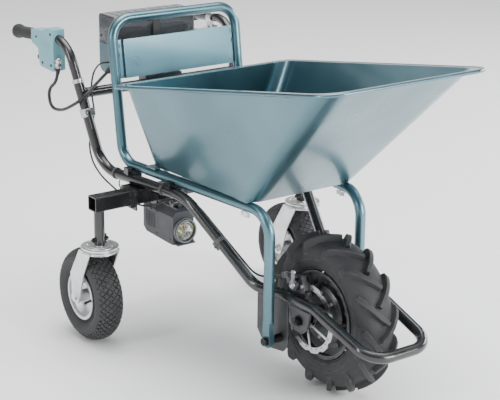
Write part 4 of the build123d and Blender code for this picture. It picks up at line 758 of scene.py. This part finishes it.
class WHEELBARROW_OT_drive_wheel(Maker):
    """Make the drive wheel's barred tyre, hub bolts, valve and brake hardware"""

    bl_idname = "wheelbarrow.drive_wheel"
    bl_label = "Drive wheel"

    def make(self, sizes):
        self.centre = joint_at("front_wheel_spin")
        self.tyre(sizes)
        self.hub()
        self.brake()

    def tyre(self, sizes):
        """Balloon carcass with its tread bars, and rings and short bars on the sidewalls."""
        tyre = DriveTyre(sizes.lug_height)
        bm = bmesh.new()
        profile = [tyre.section(radians(lean)) for lean in range(-168, 169, 7)]
        profile += [(tyre.bead, profile[-1][1] * 0.9), (tyre.bead, profile[0][1] * 0.9)]
        lathe(bm, tyre.centre, (0, -1, 0), [(r, -along) for r, along in profile], 112)
        for i in range(sizes.lug_count):
            turn = 2 * pi * i / sizes.lug_count + sizes.lug_start
            lug(bm, tyre, -1, turn, sizes)
            lug(bm, tyre, 1, turn + pi / sizes.lug_count, sizes)
        for side in (-1, 1):
            for lean, thick in ((98, 0.0014), (124, 0.0011), (140, 0.0014)):
                radius, offset = tyre.section(radians(lean))
                at = tyre.centre + Vector((0, side * (offset - 0.0003), 0))
                hoop(bm, at, (0, 1, 0), radius, thick, 112, 6)
            marks = 40
            for i in range(marks):
                turn = 2 * pi * i / marks
                ends = [tyre.place(*self.on_side(tyre, lean, side), turn) for lean in (129, 136)]
                sweep_ring(bm, ends, 0.001, 6)
        made = piece("drive_bar_tyre", bm, "tyre", "front_wheel", 32.0)
        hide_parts("front_tyre")

    def on_side(self, tyre, lean, side):
        radius, offset = tyre.section(radians(lean))
        return radius, side * offset

    def hub(self):
        """Cover bolts, raised rings and valve."""
        bm = bmesh.new()
        rim_low, rim_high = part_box("front_rim")
        left_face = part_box("hub_motor_shell")[1].y
        for i in range(8):
            turn = 2 * pi * i / 8
            for face, way in ((left_face, 1), (-left_face, -1)):
                at = Vector((self.centre.x + 0.058 * cos(turn), face, self.centre.z + 0.058 * sin(turn)))
                cap_screw(bm, at, (0, way, 0), 0.009, 0.0045)
        piece("hub_cover_screws", bm, "bright_alloy", "front_wheel")
        bm = bmesh.new()
        for r in (0.032, 0.047):
            for face in (left_face, -left_face):
                hoop(bm, self.centre + Vector((0, face, 0)), (0, 1, 0), r, 0.0012, 60)
        for side in (-1, 1):
            edge = (rim_high.y if side > 0 else rim_low.y) - side * 0.0006
            flange = (rim_high.z - rim_low.z) / 2 - 0.0016
            hoop(bm, self.centre + Vector((0, edge, 0)), (0, 1, 0), flange, 0.0016, 96)
            for i in range(10):
                turn = 2 * pi * (i + 0.5) / 10
                at = self.centre + Vector((0.083 * cos(turn), side * 0.020, 0.083 * sin(turn)))
                hex_bolt(bm, at, (0, side, 0), 0.010, 0.006)
        piece("hub_and_rim_trim", bm, "rim", "front_wheel")
        bm = bmesh.new()
        foot = self.centre + Vector((0.088, -0.024, 0))
        stem = [(0.0, 0.0), (0.006, 0.0), (0.0045, 0.012), (0.0034, 0.014), (0.0034, 0.028), (0.0044, 0.029),
                (0.0044, 0.036), (0.0, 0.037)]
        lathe(bm, foot, (-0.3, -1, 0), stem, 16)
        piece("drive_tyre_valve", bm, "black_plastic", "front_wheel")

    def brake(self):
        """Caliper bolts, the arm's pivot nut and its return spring."""
        arm = joint_at("brake_arm_turn")
        bm = bmesh.new()
        for way in (-1, 1):
            at = Vector((arm.x + way * 0.021, arm.y + 0.0165, arm.z - way * 0.0065 + 0.006))
            cap_screw(bm, at, (0, -1, 0), 0.009, 0.006)
        nut = [(0.0, 0.0), (0.005, 0.0), (0.005, 0.003), (0.0035, 0.0042), (0.0, 0.0042)]
        lathe(bm, arm + Vector((0, -0.0035, 0)), (0, -1, 0), nut, 6)
        piece("caliper_screws", bm, "bright_alloy", "frame")
        bm = bmesh.new()
        turns, count = 3.5, 84
        coil = []
        for i in range(count):
            turn = 2 * pi * turns * i / (count - 1)
            coil.append(arm + Vector((0.0112 * cos(turn), 0.0028 + 0.0075 * i / count, 0.0112 * sin(turn))))
        sweep_ring(bm, coil, 0.0009, 6)
        piece("brake_return_spring", bm, "nickel", "frame")


# ---------------------------------------------------------------- handles and controls
class WHEELBARROW_OT_grips(Maker):
    """Make the ribbed grips"""

    bl_idname = "wheelbarrow.grips"
    bl_label = "Grips"

    def make(self, sizes):
        for side in ("left", "right"):
            low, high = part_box(f"grip_{side}")
            flare = (high.y - low.y) / 2
            sleeve = flare - 0.004
            across = (low.y + high.y) / 2
            tilt = asin((high.z - low.z - sleeve - flare) / (high.x - low.x))
            along = Vector((-cos(tilt), 0, -sin(tilt)))
            front = Vector((high.x - sleeve * sin(tilt), across, high.z - sleeve * cos(tilt)))
            reach = (high.x - low.x - sleeve * sin(tilt) - flare * sin(tilt)) / cos(tilt)
            bm = bmesh.new()
            lathe(bm, front, along, self.profile(reach, sleeve, flare, sizes.grip_rib), 48)
            made = piece(f"ribbed_grip_{side}", bm, "grip", f"handle_{side}", 50.0)
            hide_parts(f"grip_{side}")

    def profile(self, reach, sleeve, flare, rib):
        """Flange, ribbed palm, plain waist and flared end with a rounded cap."""
        bore = sleeve - 0.004
        line = [(bore, 0.0), (sleeve + 0.0005, 0.0), (sleeve + 0.001, 0.002), (sleeve, 0.005)]
        start, stop, pitch = 0.010, reach - 0.030, 0.0048
        for i in range(int((stop - start) / pitch)):
            at = start + i * pitch
            groove = sleeve - rib
            line += [(groove, at), (groove, at + 0.0014), (sleeve, at + 0.0022), (sleeve, at + 0.0038)]
        line += [(sleeve - rib, stop), (sleeve, reach - 0.024), (sleeve + 0.0018, reach - 0.020)]
        line += [(flare - 0.0006, reach - 0.014), (flare, reach - 0.008), (flare - 0.0008, reach - 0.003)]
        line += [(flare - 0.0035, reach), (0.0, reach), (0.0, reach - 0.0035), (bore, reach - 0.0035)]
        return line


class WHEELBARROW_OT_controls(Maker):
    """Make the switch box's screws, seam and boots, and the brake lever's small hardware"""

    bl_idname = "wheelbarrow.controls"
    bl_label = "Controls"

    def make(self, sizes):
        low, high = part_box("switch_box")
        bm = bmesh.new()
        for y, way in ((low.y, -1), (high.y, 1)):
            for x, z in ((low.x + 0.030, high.z - 0.033), (high.x - 0.014, high.z - 0.014),
                         (high.x - 0.014, low.z + 0.016), (high.x - 0.062, low.z + 0.016)):
                cap_screw(bm, Vector((x, y, z)), (0, way, 0), 0.0075, 0.0014)
        piece("switch_box_screws", bm, "bolt", "handle_right")
        bm = bmesh.new()
        centre = (low.y + high.y) / 2
        front = high.x + 0.0001
        seam = [(front, low.z + 0.005), (front, high.z - 0.001), (high.x - 0.036, high.z + 0.0001)]
        sweep_ring(bm, [Vector((x, centre, z)) for x, z in seam], 0.0006, 6)
        for z in (high.z - 0.040, high.z - 0.046, high.z - 0.052):
            slab(bm, (high.x - 0.058, low.y - 0.0009, z), (high.x - 0.022, low.y + 0.001, z + 0.0026), 0.0004)
        piece("switch_box_ribs", bm, "switch", "handle_right")
        bm = bmesh.new()
        lever_low, lever_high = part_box("drive_lever")
        across, level = (lever_low.y + lever_high.y) / 2, (lever_low.z + lever_high.z) / 2
        for i in range(3):
            at = (lever_low.x + 0.0265 - 0.0026 * i, across, level - 0.001)
            hoop(bm, at, (1, 0, 0), 0.0122 - 0.0012 * i, 0.0012, 28)
        piece("lever_boot", bm, "grip", "drive_lever")
        bm = bmesh.new()
        button_low, button_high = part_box("power_button")
        collar = Vector(((button_low.x + button_high.x) / 2, high.y, (button_low.z + button_high.z) / 2))
        hoop(bm, collar, (0, 1, 0), 0.0086, 0.0014, 32)
        piece("button_collar", bm, "black_plastic", "handle_right")
        self.brake_side()

    def brake_side(self):
        """Barrel adjuster and pivot nuts of the brake lever's perch."""
        pivot = joint_at("brake_lever_pull")
        bm = bmesh.new()
        foot = Vector((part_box("brake_perch")[1].x - 0.004, pivot.y, pivot.z + 0.004))
        barrel = [(0.0028, 0.0), (0.0052, 0.0), (0.0062, 0.001), (0.0062, 0.006), (0.005, 0.0075),
                  (0.0036, 0.0078), (0.0034, 0.011), (0.0028, 0.011)]
        lathe(bm, foot, (1, 0, 0), barrel, 12)
        for way in (-1, 1):
            hex_bolt(bm, pivot + Vector((0, way * 0.0092, 0)), (0, way, 0), 0.008, 0.0035, False)
        piece("brake_perch_hardware", bm, "nickel", "handle_left")


# ---------------------------------------------------------------- cables
CONTROL_ROUTE = (
    (-0.4423, -0.2784, 0.6891), (-0.4416, -0.2820, 0.6533), (-0.4917, -0.2840, 0.6220),
    (-0.4737, -0.2880, 0.5740), (-0.4117, -0.2900, 0.5780), (-0.3617, -0.2860, 0.6000),
    (-0.3147, -0.2750, 0.6300), (-0.3347, -0.2280, 0.6550), (-0.3707, -0.1810, 0.6650),
    (-0.4047, -0.1410, 0.6730),
)


def route_curve(name, points, thickness):
    """Smooth cable line with the route's points as its control points."""
    curve = bpy.data.curves.new(name, "CURVE")
    curve.dimensions = "3D"
    spline = curve.splines.new("NURBS")
    spline.points.add(len(points) - 1)
    for control, place in zip(spline.points, points):
        control.co = (*place, 1.0)
    spline.order_u = 3
    spline.use_endpoint_u = True
    spline.resolution_u = 12
    curve.bevel_depth = thickness / 2
    curve.bevel_resolution = 5
    curve.use_fill_caps = True
    line = bpy.data.objects.new(name, curve)
    bpy.context.scene.collection.objects.link(line)
    return line


def baked_mesh(line):
    """Mesh of a curve as Blender draws it."""
    depsgraph = bpy.context.evaluated_depsgraph_get()
    depsgraph.update()
    return bpy.data.meshes.new_from_object(line.evaluated_get(depsgraph), depsgraph=depsgraph)


class WHEELBARROW_OT_cables(Maker):
    """Make the control cord, the brake cable and the lamp's lead"""

    bl_idname = "wheelbarrow.cables"
    bl_label = "Cables"

    def make(self, sizes):
        self.control_cord(sizes.cord)
        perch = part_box("brake_perch")[1]
        self.held("brake_cable", "frame", "handle_left", (perch.x + 0.19, perch.y - 0.12, perch.z),
                  (perch.x + 0.01, perch.y, perch.z))
        lamp_low, lamp_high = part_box("lamp_body")
        rear = Vector((lamp_low.x, (lamp_low.y + lamp_high.y) / 2, lamp_high.z - 0.045))
        self.held("lamp_lead", "frame", "lamp", rear + Vector((-0.035, 0, 0.06)), rear)
        self.boots()
        self.ties()

    def control_cord(self, thickness):
        route = route_curve("control_route", CONTROL_ROUTE, 0.0)
        line = [tuple(v.co) for v in baked_mesh(route).vertices]
        bpy.data.objects.remove(route)
        solid = route_curve("control_solid", CONTROL_ROUTE, thickness)
        mesh = baked_mesh(solid)
        bpy.data.objects.remove(solid)
        mesh.name = "control_cord"
        mesh.shade_smooth()
        mesh.materials.clear()
        mesh.materials.append(FINISHES["cable"])
        cord = bpy.data.objects.new("control_cord", mesh)
        bpy.context.scene.collection.objects.link(cord)
        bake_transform(cord)
        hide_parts("control_cable")

    def held(self, node, fixed, moving, start, end):
        """A copy of a clipped cable, with the frame's own part hidden."""
        mesh = NODES[node].data.copy()
        mesh.name = f"{node}_line"
        line = bpy.data.objects.new(f"{node}_line", mesh)
        bpy.context.scene.collection.objects.link(line)
        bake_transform(line)
        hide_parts(node)

    def boots(self):
        """Tapered, ribbed strain reliefs at both ends of the control cord."""
        start, after = Vector(CONTROL_ROUTE[0]), Vector(CONTROL_ROUTE[1])
        end, before = Vector(CONTROL_ROUTE[-1]), Vector(CONTROL_ROUTE[-2])
        line = [(0.0047, 0.0), (0.0078, 0.0)]
        for i in range(5):
            radius, at = 0.0074 - 0.0005 * i, 0.003 * i
            line += [(radius, 0.0008 + at), (radius, 0.0024 + at), (radius - 0.0009, 0.0029 + at)]
        line += [(0.0052, 0.0165), (0.0047, 0.0165)]
        ends = (("gland_boot", start, after, "handle_right"), ("case_boot", end, before, "frame"))
        for name, foot, toward, body in ends:
            bm = bmesh.new()
            lathe(bm, foot, toward - foot, line, 24)
            piece(name, bm, "grip", body)

    def ties(self):
        """Nylon ties that hold the brake cable on the right rail."""
        low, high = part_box("frame_rail_right")
        cable = [v.co for v in NODES["brake_cable"].data.vertices if v.co.y < -0.12 and v.co.z < high.z - 0.2]
        bm = bmesh.new()
        for at_x in (low.x + 0.155, low.x + 0.27, low.x + 0.36):
            near = [place for place in cable if abs(place.x - at_x) < 0.012]
            if not near:
                continue
            centre = sum(near, Vector()) / len(near)
            hoop(bm, (at_x, centre.y, centre.z), (1, 0.1, 0), 0.0042, 0.0011, 20, 6)
            slab(bm, (at_x - 0.002, centre.y - 0.002, centre.z - 0.0078),
                 (at_x + 0.002, centre.y + 0.002, centre.z - 0.0038), 0.0004)
        piece("cable_ties", bm, "black_plastic", "frame")


# ---------------------------------------------------------------- battery box
def cut_corner_loop(rear, front, right, left, cut, level):
    """Level loop round a rectangle whose corners are cut off."""
    corners = ((rear + cut, right), (front - cut, right), (front, right + cut), (front, left - cut),
               (front - cut, left), (rear + cut, left), (rear, left - cut), (rear, right + cut))
    return [Vector((x, y, level)) for x, y in corners]


class WHEELBARROW_OT_battery_box(Maker):
    """Make the battery box's gasket, lid ribs, screws and the packs' mouldings"""

    bl_idname = "wheelbarrow.battery_box"
    bl_label = "Battery box"

    def make(self, sizes):
        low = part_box("battery_case")[0]
        lid_low, lid_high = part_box("battery_lid")
        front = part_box("lid_latch")[0].x - 0.0036
        half = lid_high.y
        rear = low.x + 0.0105
        split = lid_low.z + 0.0053
        self.gasket(rear, front, half, split)
        self.lid(rear, front, half, lid_high.z - 0.0065)
        self.packs()
        self.case_screws(front, half, low.z, split)

    def gasket(self, rear, front, half, split):
        bm = bmesh.new()
        sweep_ring(bm, cut_corner_loop(rear, front, -half, half, 0.0062, split - 0.0014), 0.0011, 6, True)
        piece("lid_gasket", bm, "black_plastic", "frame")

    def lid(self, rear, front, half, top):
        """Ribs under the lid's roof and two finger lugs."""
        bm = bmesh.new()
        for i in range(9):
            y = -half + 0.026 + i * (2 * half - 0.052) / 8
            slab(bm, (rear + 0.008, y - 0.0012, top - 0.0032), (front - 0.008, y + 0.0012, top + 0.0002),
                 0.0003)
        piece("lid_ribs", bm, "lid", "battery_lid")
        bm = bmesh.new()
        for side in (-1, 1):
            slab(bm, (front - 0.0005, side * 0.075 - 0.012, top - 0.062),
                 (front + 0.0022, side * 0.075 + 0.012, top - 0.056), 0.0008)
        for side in (-1, 1):
            for x in (rear + 0.018, front - 0.018):
                lathe(bm, Vector((x, side * (half + 0.0001), top - 0.060)), (0, side, 0),
                      [(0.0, 0.0), (0.0042, 0.0), (0.0038, 0.0012), (0.0, 0.0016)], 18)
        piece("lid_lugs", bm, "black_plastic", "battery_lid")

    def packs(self):
        """Seams, rails and release keys of the two packs."""
        low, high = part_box("battery_packs")
        bm = bmesh.new()
        keys = bmesh.new()
        for side in (-1, 1):
            inner, outer = sorted((side * 0.0087, side * max(abs(low.y), abs(high.y))))
            for z in (low.z + 0.030, low.z + 0.078):
                sweep_ring(bm, cut_corner_loop(low.x, high.x, inner, outer, 0.008, z), 0.0012, 6, True)
            for i in range(5):
                y = inner + 0.022 + 0.017 * i
                slab(bm, (low.x + 0.008, y - 0.003, high.z - 0.0006),
                     (high.x - 0.008, y + 0.003, high.z + 0.0016), 0.0006)
            slab(keys, (high.x - 0.0008, (inner + outer) / 2 - 0.017, high.z - 0.024),
                 (high.x + 0.0012, (inner + outer) / 2 + 0.017, high.z - 0.012), 0.0006)
        piece("pack_mouldings", bm, "lamp_edge", "frame")
        piece("pack_keys", keys, "button", "frame")

    def case_screws(self, front, half, bottom, split):
        bm = bmesh.new()
        for y in (-half + 0.014, half - 0.014):
            for z in (bottom + 0.016, split - 0.016):
                cap_screw(bm, Vector((front, y, z)), (1, 0, 0), 0.008, 0.0018)
        for side in (-1, 1):
            at = Vector((front - 0.014, side * half, bottom + 0.02))
            cap_screw(bm, at, (0, side, 0), 0.008, 0.0018)
        piece("case_screws", bm, "bolt", "frame")


# ---------------------------------------------------------------- lamp
class WHEELBARROW_OT_lamp(Maker):
    """Make the lamp's reflector, emitters, bezel, screws and fins"""

    bl_idname = "wheelbarrow.lamp"
    bl_label = "Lamp"

    def make(self, sizes):
        lens_low, lens_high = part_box("lamp_lens")
        low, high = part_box("lamp_body")
        radius = (lens_high.z - lens_low.z) / 2
        centre = Vector((lens_low.x, (lens_low.y + lens_high.y) / 2, (lens_low.z + lens_high.z) / 2))
        bm = bmesh.new()
        edge = radius - 0.0006
        bowl = [(edge, -0.0006), (edge, -0.0016), (radius * 0.86, -0.007), (radius * 0.6, -0.0135),
                (radius * 0.3, -0.0165), (0.0, -0.017), (0.0, -0.0185), (radius * 0.6, -0.0155),
                (radius * 0.95, -0.008)]
        lathe(bm, centre, (1, 0, 0), bowl, 48)
        piece("lamp_reflector_bowl", bm, "reflector", "lamp")
        bm = bmesh.new()
        emitter = [(0.0, -0.003), (0.0042, -0.003), (0.004, 0.001), (0.0026, 0.0026), (0.0, 0.0032)]
        turns = [2 * pi * i / 6 for i in range(6)]
        spots = [Vector((-0.0115, 0.0135 * cos(turn), 0.0135 * sin(turn))) for turn in turns]
        for spot in spots + [Vector((-0.0135, 0, 0))]:
            lathe(bm, centre + spot, (1, 0, 0), emitter, 18)
        piece("lamp_emitters", bm, "phosphor", "lamp")
        bm = bmesh.new()
        rim = lens_high.x + 0.0052
        hoop(bm, (rim, centre.y, centre.z), (1, 0, 0), radius + 0.0026, 0.0016, 60)
        hoop(bm, (rim - 0.006, centre.y, centre.z), (1, 0, 0), radius + 0.0052, 0.0011, 60)
        shoulder = high.z - 0.022
        slab(bm, (low.x + 0.004, low.y + 0.0135, shoulder - 0.0004),
             (low.x + 0.14, low.y + 0.017, shoulder + 0.0012), 0.0005)
        piece("lamp_bezel", bm, "lamp_edge", "lamp")
        bm = bmesh.new()
        for i in range(6):
            x = low.x + 0.012 + 0.008 * i
            slab(bm, (x, low.y - 0.001, low.z + 0.022), (x + 0.0032, low.y + 0.001, low.z + 0.066), 0.0005)
        rear, bottom = low.x + 0.066, low.z + 0.012
        for x, z in ((rear, bottom), (rear, low.z + 0.072), (high.x - 0.030, bottom)):
            cap_screw(bm, Vector((x, low.y, z)), (0, -1, 0), 0.0064, 0.0012)
        piece("lamp_fins", bm, "lamp", "lamp")


# ---------------------------------------------------------------- welds, seams and trim
class WHEELBARROW_OT_welds(Maker):
    """Make the weld beads of the frame and the tub carrier"""

    bl_idname = "wheelbarrow.welds"
    bl_label = "Welds"

    def make(self, sizes):
        bead = sizes.bead
        bm = bmesh.new()
        stem_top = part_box("caster_stems")[1].z
        for side in ("left", "right"):
            stem = joint_at(f"caster_{side}_swivel")
            loop = circle((stem.x, stem.y, stem_top - 0.0006), (0, 0, 1), 0.0146, 44)
            weld_line(bm, loop + loop[:1], bead * 0.8)
        cross_low, cross_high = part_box("handle_cross_tube")
        centre = (cross_low + cross_high) / 2
        for side in (-1, 1):
            at = (centre.x + 0.0005, side * (cross_high.y - 0.0125), centre.z)
            loop = circle(at, (-0.1, 1, 0), 0.0144, 44)
            weld_line(bm, loop + loop[:1], bead * 0.8)
        self.plates(bm, bead)
        piece("frame_welds", bm, "weld", "frame")
        bm = bmesh.new()
        hoop_low, hoop_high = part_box("tub_hoop")
        panel_low, panel_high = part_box("back_panel")
        lean = atan2(panel_high.x - panel_low.x - 0.010, panel_high.z - panel_low.z)
        for side in (-1, 1):
            for i in range(4):
                z = panel_low.z + 0.012 + i * 0.0255
                share = (z - panel_low.z) / (panel_high.z - panel_low.z)
                x = panel_low.x + 0.0185 + (1 - share) * (panel_high.x - panel_low.x - 0.0285)
                a = Vector((x - 0.0022, side * (panel_high.y - 0.0012), z - 0.005))
                b = a + Vector((-0.010 * sin(lean), 0, 0.010))
                weld_line(bm, [a, b], bead * 0.7)
            joint = Vector((hoop_high.x - 0.0195, side * (hoop_high.y - 0.0135), hoop_low.z + 0.0015))
            hoop(bm, joint, (-0.165, 0, 1), 0.01375, 0.0005, 44, 6)
        piece("carrier_welds", bm, "enamel", "frame")

    def plates(self, bm, bead):
        """Beads along the axle plates and the outrigger's brackets."""
        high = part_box("frame_plates")[1]
        centre = joint_at("front_wheel_spin")
        for side in (-1, 1):
            y = side * (high.y - 0.0155)
            top = high.z - 0.0015
            weld_line(bm, [Vector((centre.x - 0.040, y, top)), Vector((centre.x + 0.040, y, top))], bead)
        beam_low, beam_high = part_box("beam_brackets")
        for side in (-1, 1):
            inner = side * (abs(beam_high.y) - 0.0435)
            for x in (beam_low.x + 0.004, beam_high.x - 0.004):
                ends = [Vector((x, y, beam_high.z)) for y in (inner - 0.02, inner + 0.02)]
                weld_line(bm, ends, bead * 0.8)


class WHEELBARROW_OT_tub_trim(Maker):
    """Make the swages pressed into the tub's floor"""

    bl_idname = "wheelbarrow.tub_trim"
    bl_label = "Tub trim"

    def make(self, sizes):
        low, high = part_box("tub_straps")
        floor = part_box("tub_bolts")[1].z - 0.004
        bm = bmesh.new()
        for y in (-0.09, -0.03, 0.03, 0.09):
            line = [Vector((low.x + 0.075, y, floor)), Vector((high.x - 0.075, y, floor))]
            sweep_ring(bm, line, 0.0045, 12, False, 0.35)
        piece("floor_swages", bm, "enamel", "frame")


class WHEELBARROW_OT_smooth(Maker):
    """Shade the frame's own parts smoothly between their sharp edges"""

    bl_idname = "wheelbarrow.smooth"
    bl_label = "Smooth shading"

    def make(self, sizes):
        for node in NODES.values():
            node.data.shade_smooth()
            node.data.set_sharp_from_angle(angle=radians(32.0))


# ---------------------------------------------------------------- stage
CAMERA_FOCUS = Vector((0.069, 0.0, 0.3976))
CAMERA_DISTANCE = 3.794
CAMERA_AZIMUTH = 53.752
CAMERA_ELEVATION = 17.973
CAMERA_ROLL = 0.578
CAMERA_LENS = 104.09


def soft_light(name, place, aim, size, power, tint=(1, 1, 1)):
    """Large rectangular light that looks at a point."""
    data = bpy.data.lights.new(name, "AREA")
    data.shape = "RECTANGLE"
    data.size, data.size_y = size
    data.energy = power
    data.color = tint
    light = bpy.data.objects.new(name, data)
    light.location = place
    light.rotation_euler = (Vector(aim) - Vector(place)).to_track_quat("-Z", "Y").to_euler()
    bpy.context.scene.collection.objects.link(light)


class WHEELBARROW_OT_stage(Maker):
    """Make the pale floor, the soft light and the camera"""

    bl_idname = "wheelbarrow.stage"
    bl_label = "Stage"

    def make(self, sizes):
        self.floor()
        self.sky()
        soft_light("ceiling_soft", (-0.2, 0.6, 4.8), (0.0, 0.0, 0.0), (3.6, 3.6), 260)
        soft_light("front_soft", (3.8, 1.4, 1.6), (0.3, 0.0, 0.4), (2.0, 1.8), 170)
        soft_light("left_soft", (0.2, 4.4, 1.6), (0.0, 0.0, 0.4), (3.0, 1.0), 110)
        soft_light("right_strip", (0.3, -4.2, 2.4), (0.0, 0.0, 0.45), (0.4, 2.8), 80)
        self.camera()

    def floor(self):
        finish = Finish("studio_floor", roughness=0.6)
        tone = finish.noise(0.8, 3.0)
        finish.link(finish.mix(tone, (0.93, 0.935, 0.94), (0.95, 0.95, 0.95)), "Base Color")
        bm = bmesh.new()
        bmesh.ops.create_grid(bm, x_segments=8, y_segments=8, size=30.0)
        mesh = bpy.data.meshes.new("studio_floor")
        bm.to_mesh(mesh)
        bm.free()
        mesh.materials.append(finish.material)
        floor = bpy.data.objects.new("studio_floor", mesh)
        bpy.context.scene.collection.objects.link(floor)

    def sky(self):
        """Bright low horizon and ceiling with a dark band between them, which the enamel mirrors."""
        world = bpy.data.worlds.new("studio")
        world.use_nodes = True
        tree = world.node_tree
        backdrop = tree.nodes["Background"]
        place = tree.nodes.new("ShaderNodeTexCoord")
        parts = tree.nodes.new("ShaderNodeSeparateXYZ")
        tree.links.new(place.outputs["Generated"], parts.inputs["Vector"])
        ramp = tree.nodes.new("ShaderNodeValToRGB")
        tree.links.new(parts.outputs["Z"], ramp.inputs["Fac"])
        ramp.color_ramp.elements.remove(ramp.color_ramp.elements[1])
        ramp.color_ramp.elements[0].color = (0.97, 0.98, 1.0, 1.0)
        for height, level in ((0.16, 0.8), (0.3, 0.07), (0.66, 0.06), (0.84, 1.0)):
            stop = ramp.color_ramp.elements.new(height)
            stop.color = (level, level, level, 1.0)
        tree.links.new(ramp.outputs["Color"], backdrop.inputs["Color"])
        backdrop.inputs["Strength"].default_value = 1.7
        bpy.context.scene.world = world

    def camera(self):
        azimuth, elevation = radians(CAMERA_AZIMUTH), radians(CAMERA_ELEVATION)
        back = Vector((sin(azimuth) * cos(elevation), -cos(azimuth) * cos(elevation), sin(elevation)))
        data = bpy.data.cameras.new("camera")
        data.lens = CAMERA_LENS
        data.clip_end = 100.0
        camera = bpy.data.objects.new("camera", data)
        place = Matrix.Translation(CAMERA_FOCUS + back * CAMERA_DISTANCE)
        turn = (-back).to_track_quat("-Z", "Y").to_matrix().to_4x4()
        camera.matrix_world = place @ turn @ Matrix.Rotation(radians(CAMERA_ROLL), 4, "Z")
        bpy.context.scene.collection.objects.link(camera)
        bpy.context.scene.camera = camera


# ---------------------------------------------------------------- panel and registration
STEPS = (
    WHEELBARROW_OT_stage, WHEELBARROW_OT_finishes, WHEELBARROW_OT_smooth, WHEELBARROW_OT_cables,
    WHEELBARROW_OT_caster_wheels, WHEELBARROW_OT_drive_wheel, WHEELBARROW_OT_grips, WHEELBARROW_OT_controls,
    WHEELBARROW_OT_battery_box, WHEELBARROW_OT_lamp, WHEELBARROW_OT_welds, WHEELBARROW_OT_tub_trim,
)


class WHEELBARROW_PT_looks(bpy.types.Panel):
    """Sidebar list of the wheelbarrow's settings and steps"""

    bl_idname = "WHEELBARROW_PT_looks"
    bl_label = "Wheelbarrow"
    bl_space_type = "VIEW_3D"
    bl_region_type = "UI"
    bl_category = "Wheelbarrow"

    def draw(self, context):
        layout = self.layout
        for settings in (finish_settings(), hardware_settings()):
            box = layout.box()
            for name in settings.__annotations__:
                box.prop(settings, name)
        for step in STEPS:
            layout.operator(step.bl_idname)


CLASSES = (WHEELBARROW_PG_finish, WHEELBARROW_PG_hardware, *STEPS, WHEELBARROW_PT_looks)


def register():
    for cls in CLASSES:
        bpy.utils.register_class(cls)
    bpy.types.Scene.wheelbarrow_finish = PointerProperty(type=WHEELBARROW_PG_finish)
    bpy.types.Scene.wheelbarrow_hardware = PointerProperty(type=WHEELBARROW_PG_hardware)


def unregister():
    del bpy.types.Scene.wheelbarrow_hardware
    del bpy.types.Scene.wheelbarrow_finish
    for cls in reversed(CLASSES):
        bpy.utils.unregister_class(cls)


def main():
    register()
    for step in STEPS:
        group, name = step.bl_idname.split(".")
        getattr(getattr(bpy.ops, group), name)()


if __name__ == "__main__":
    main()
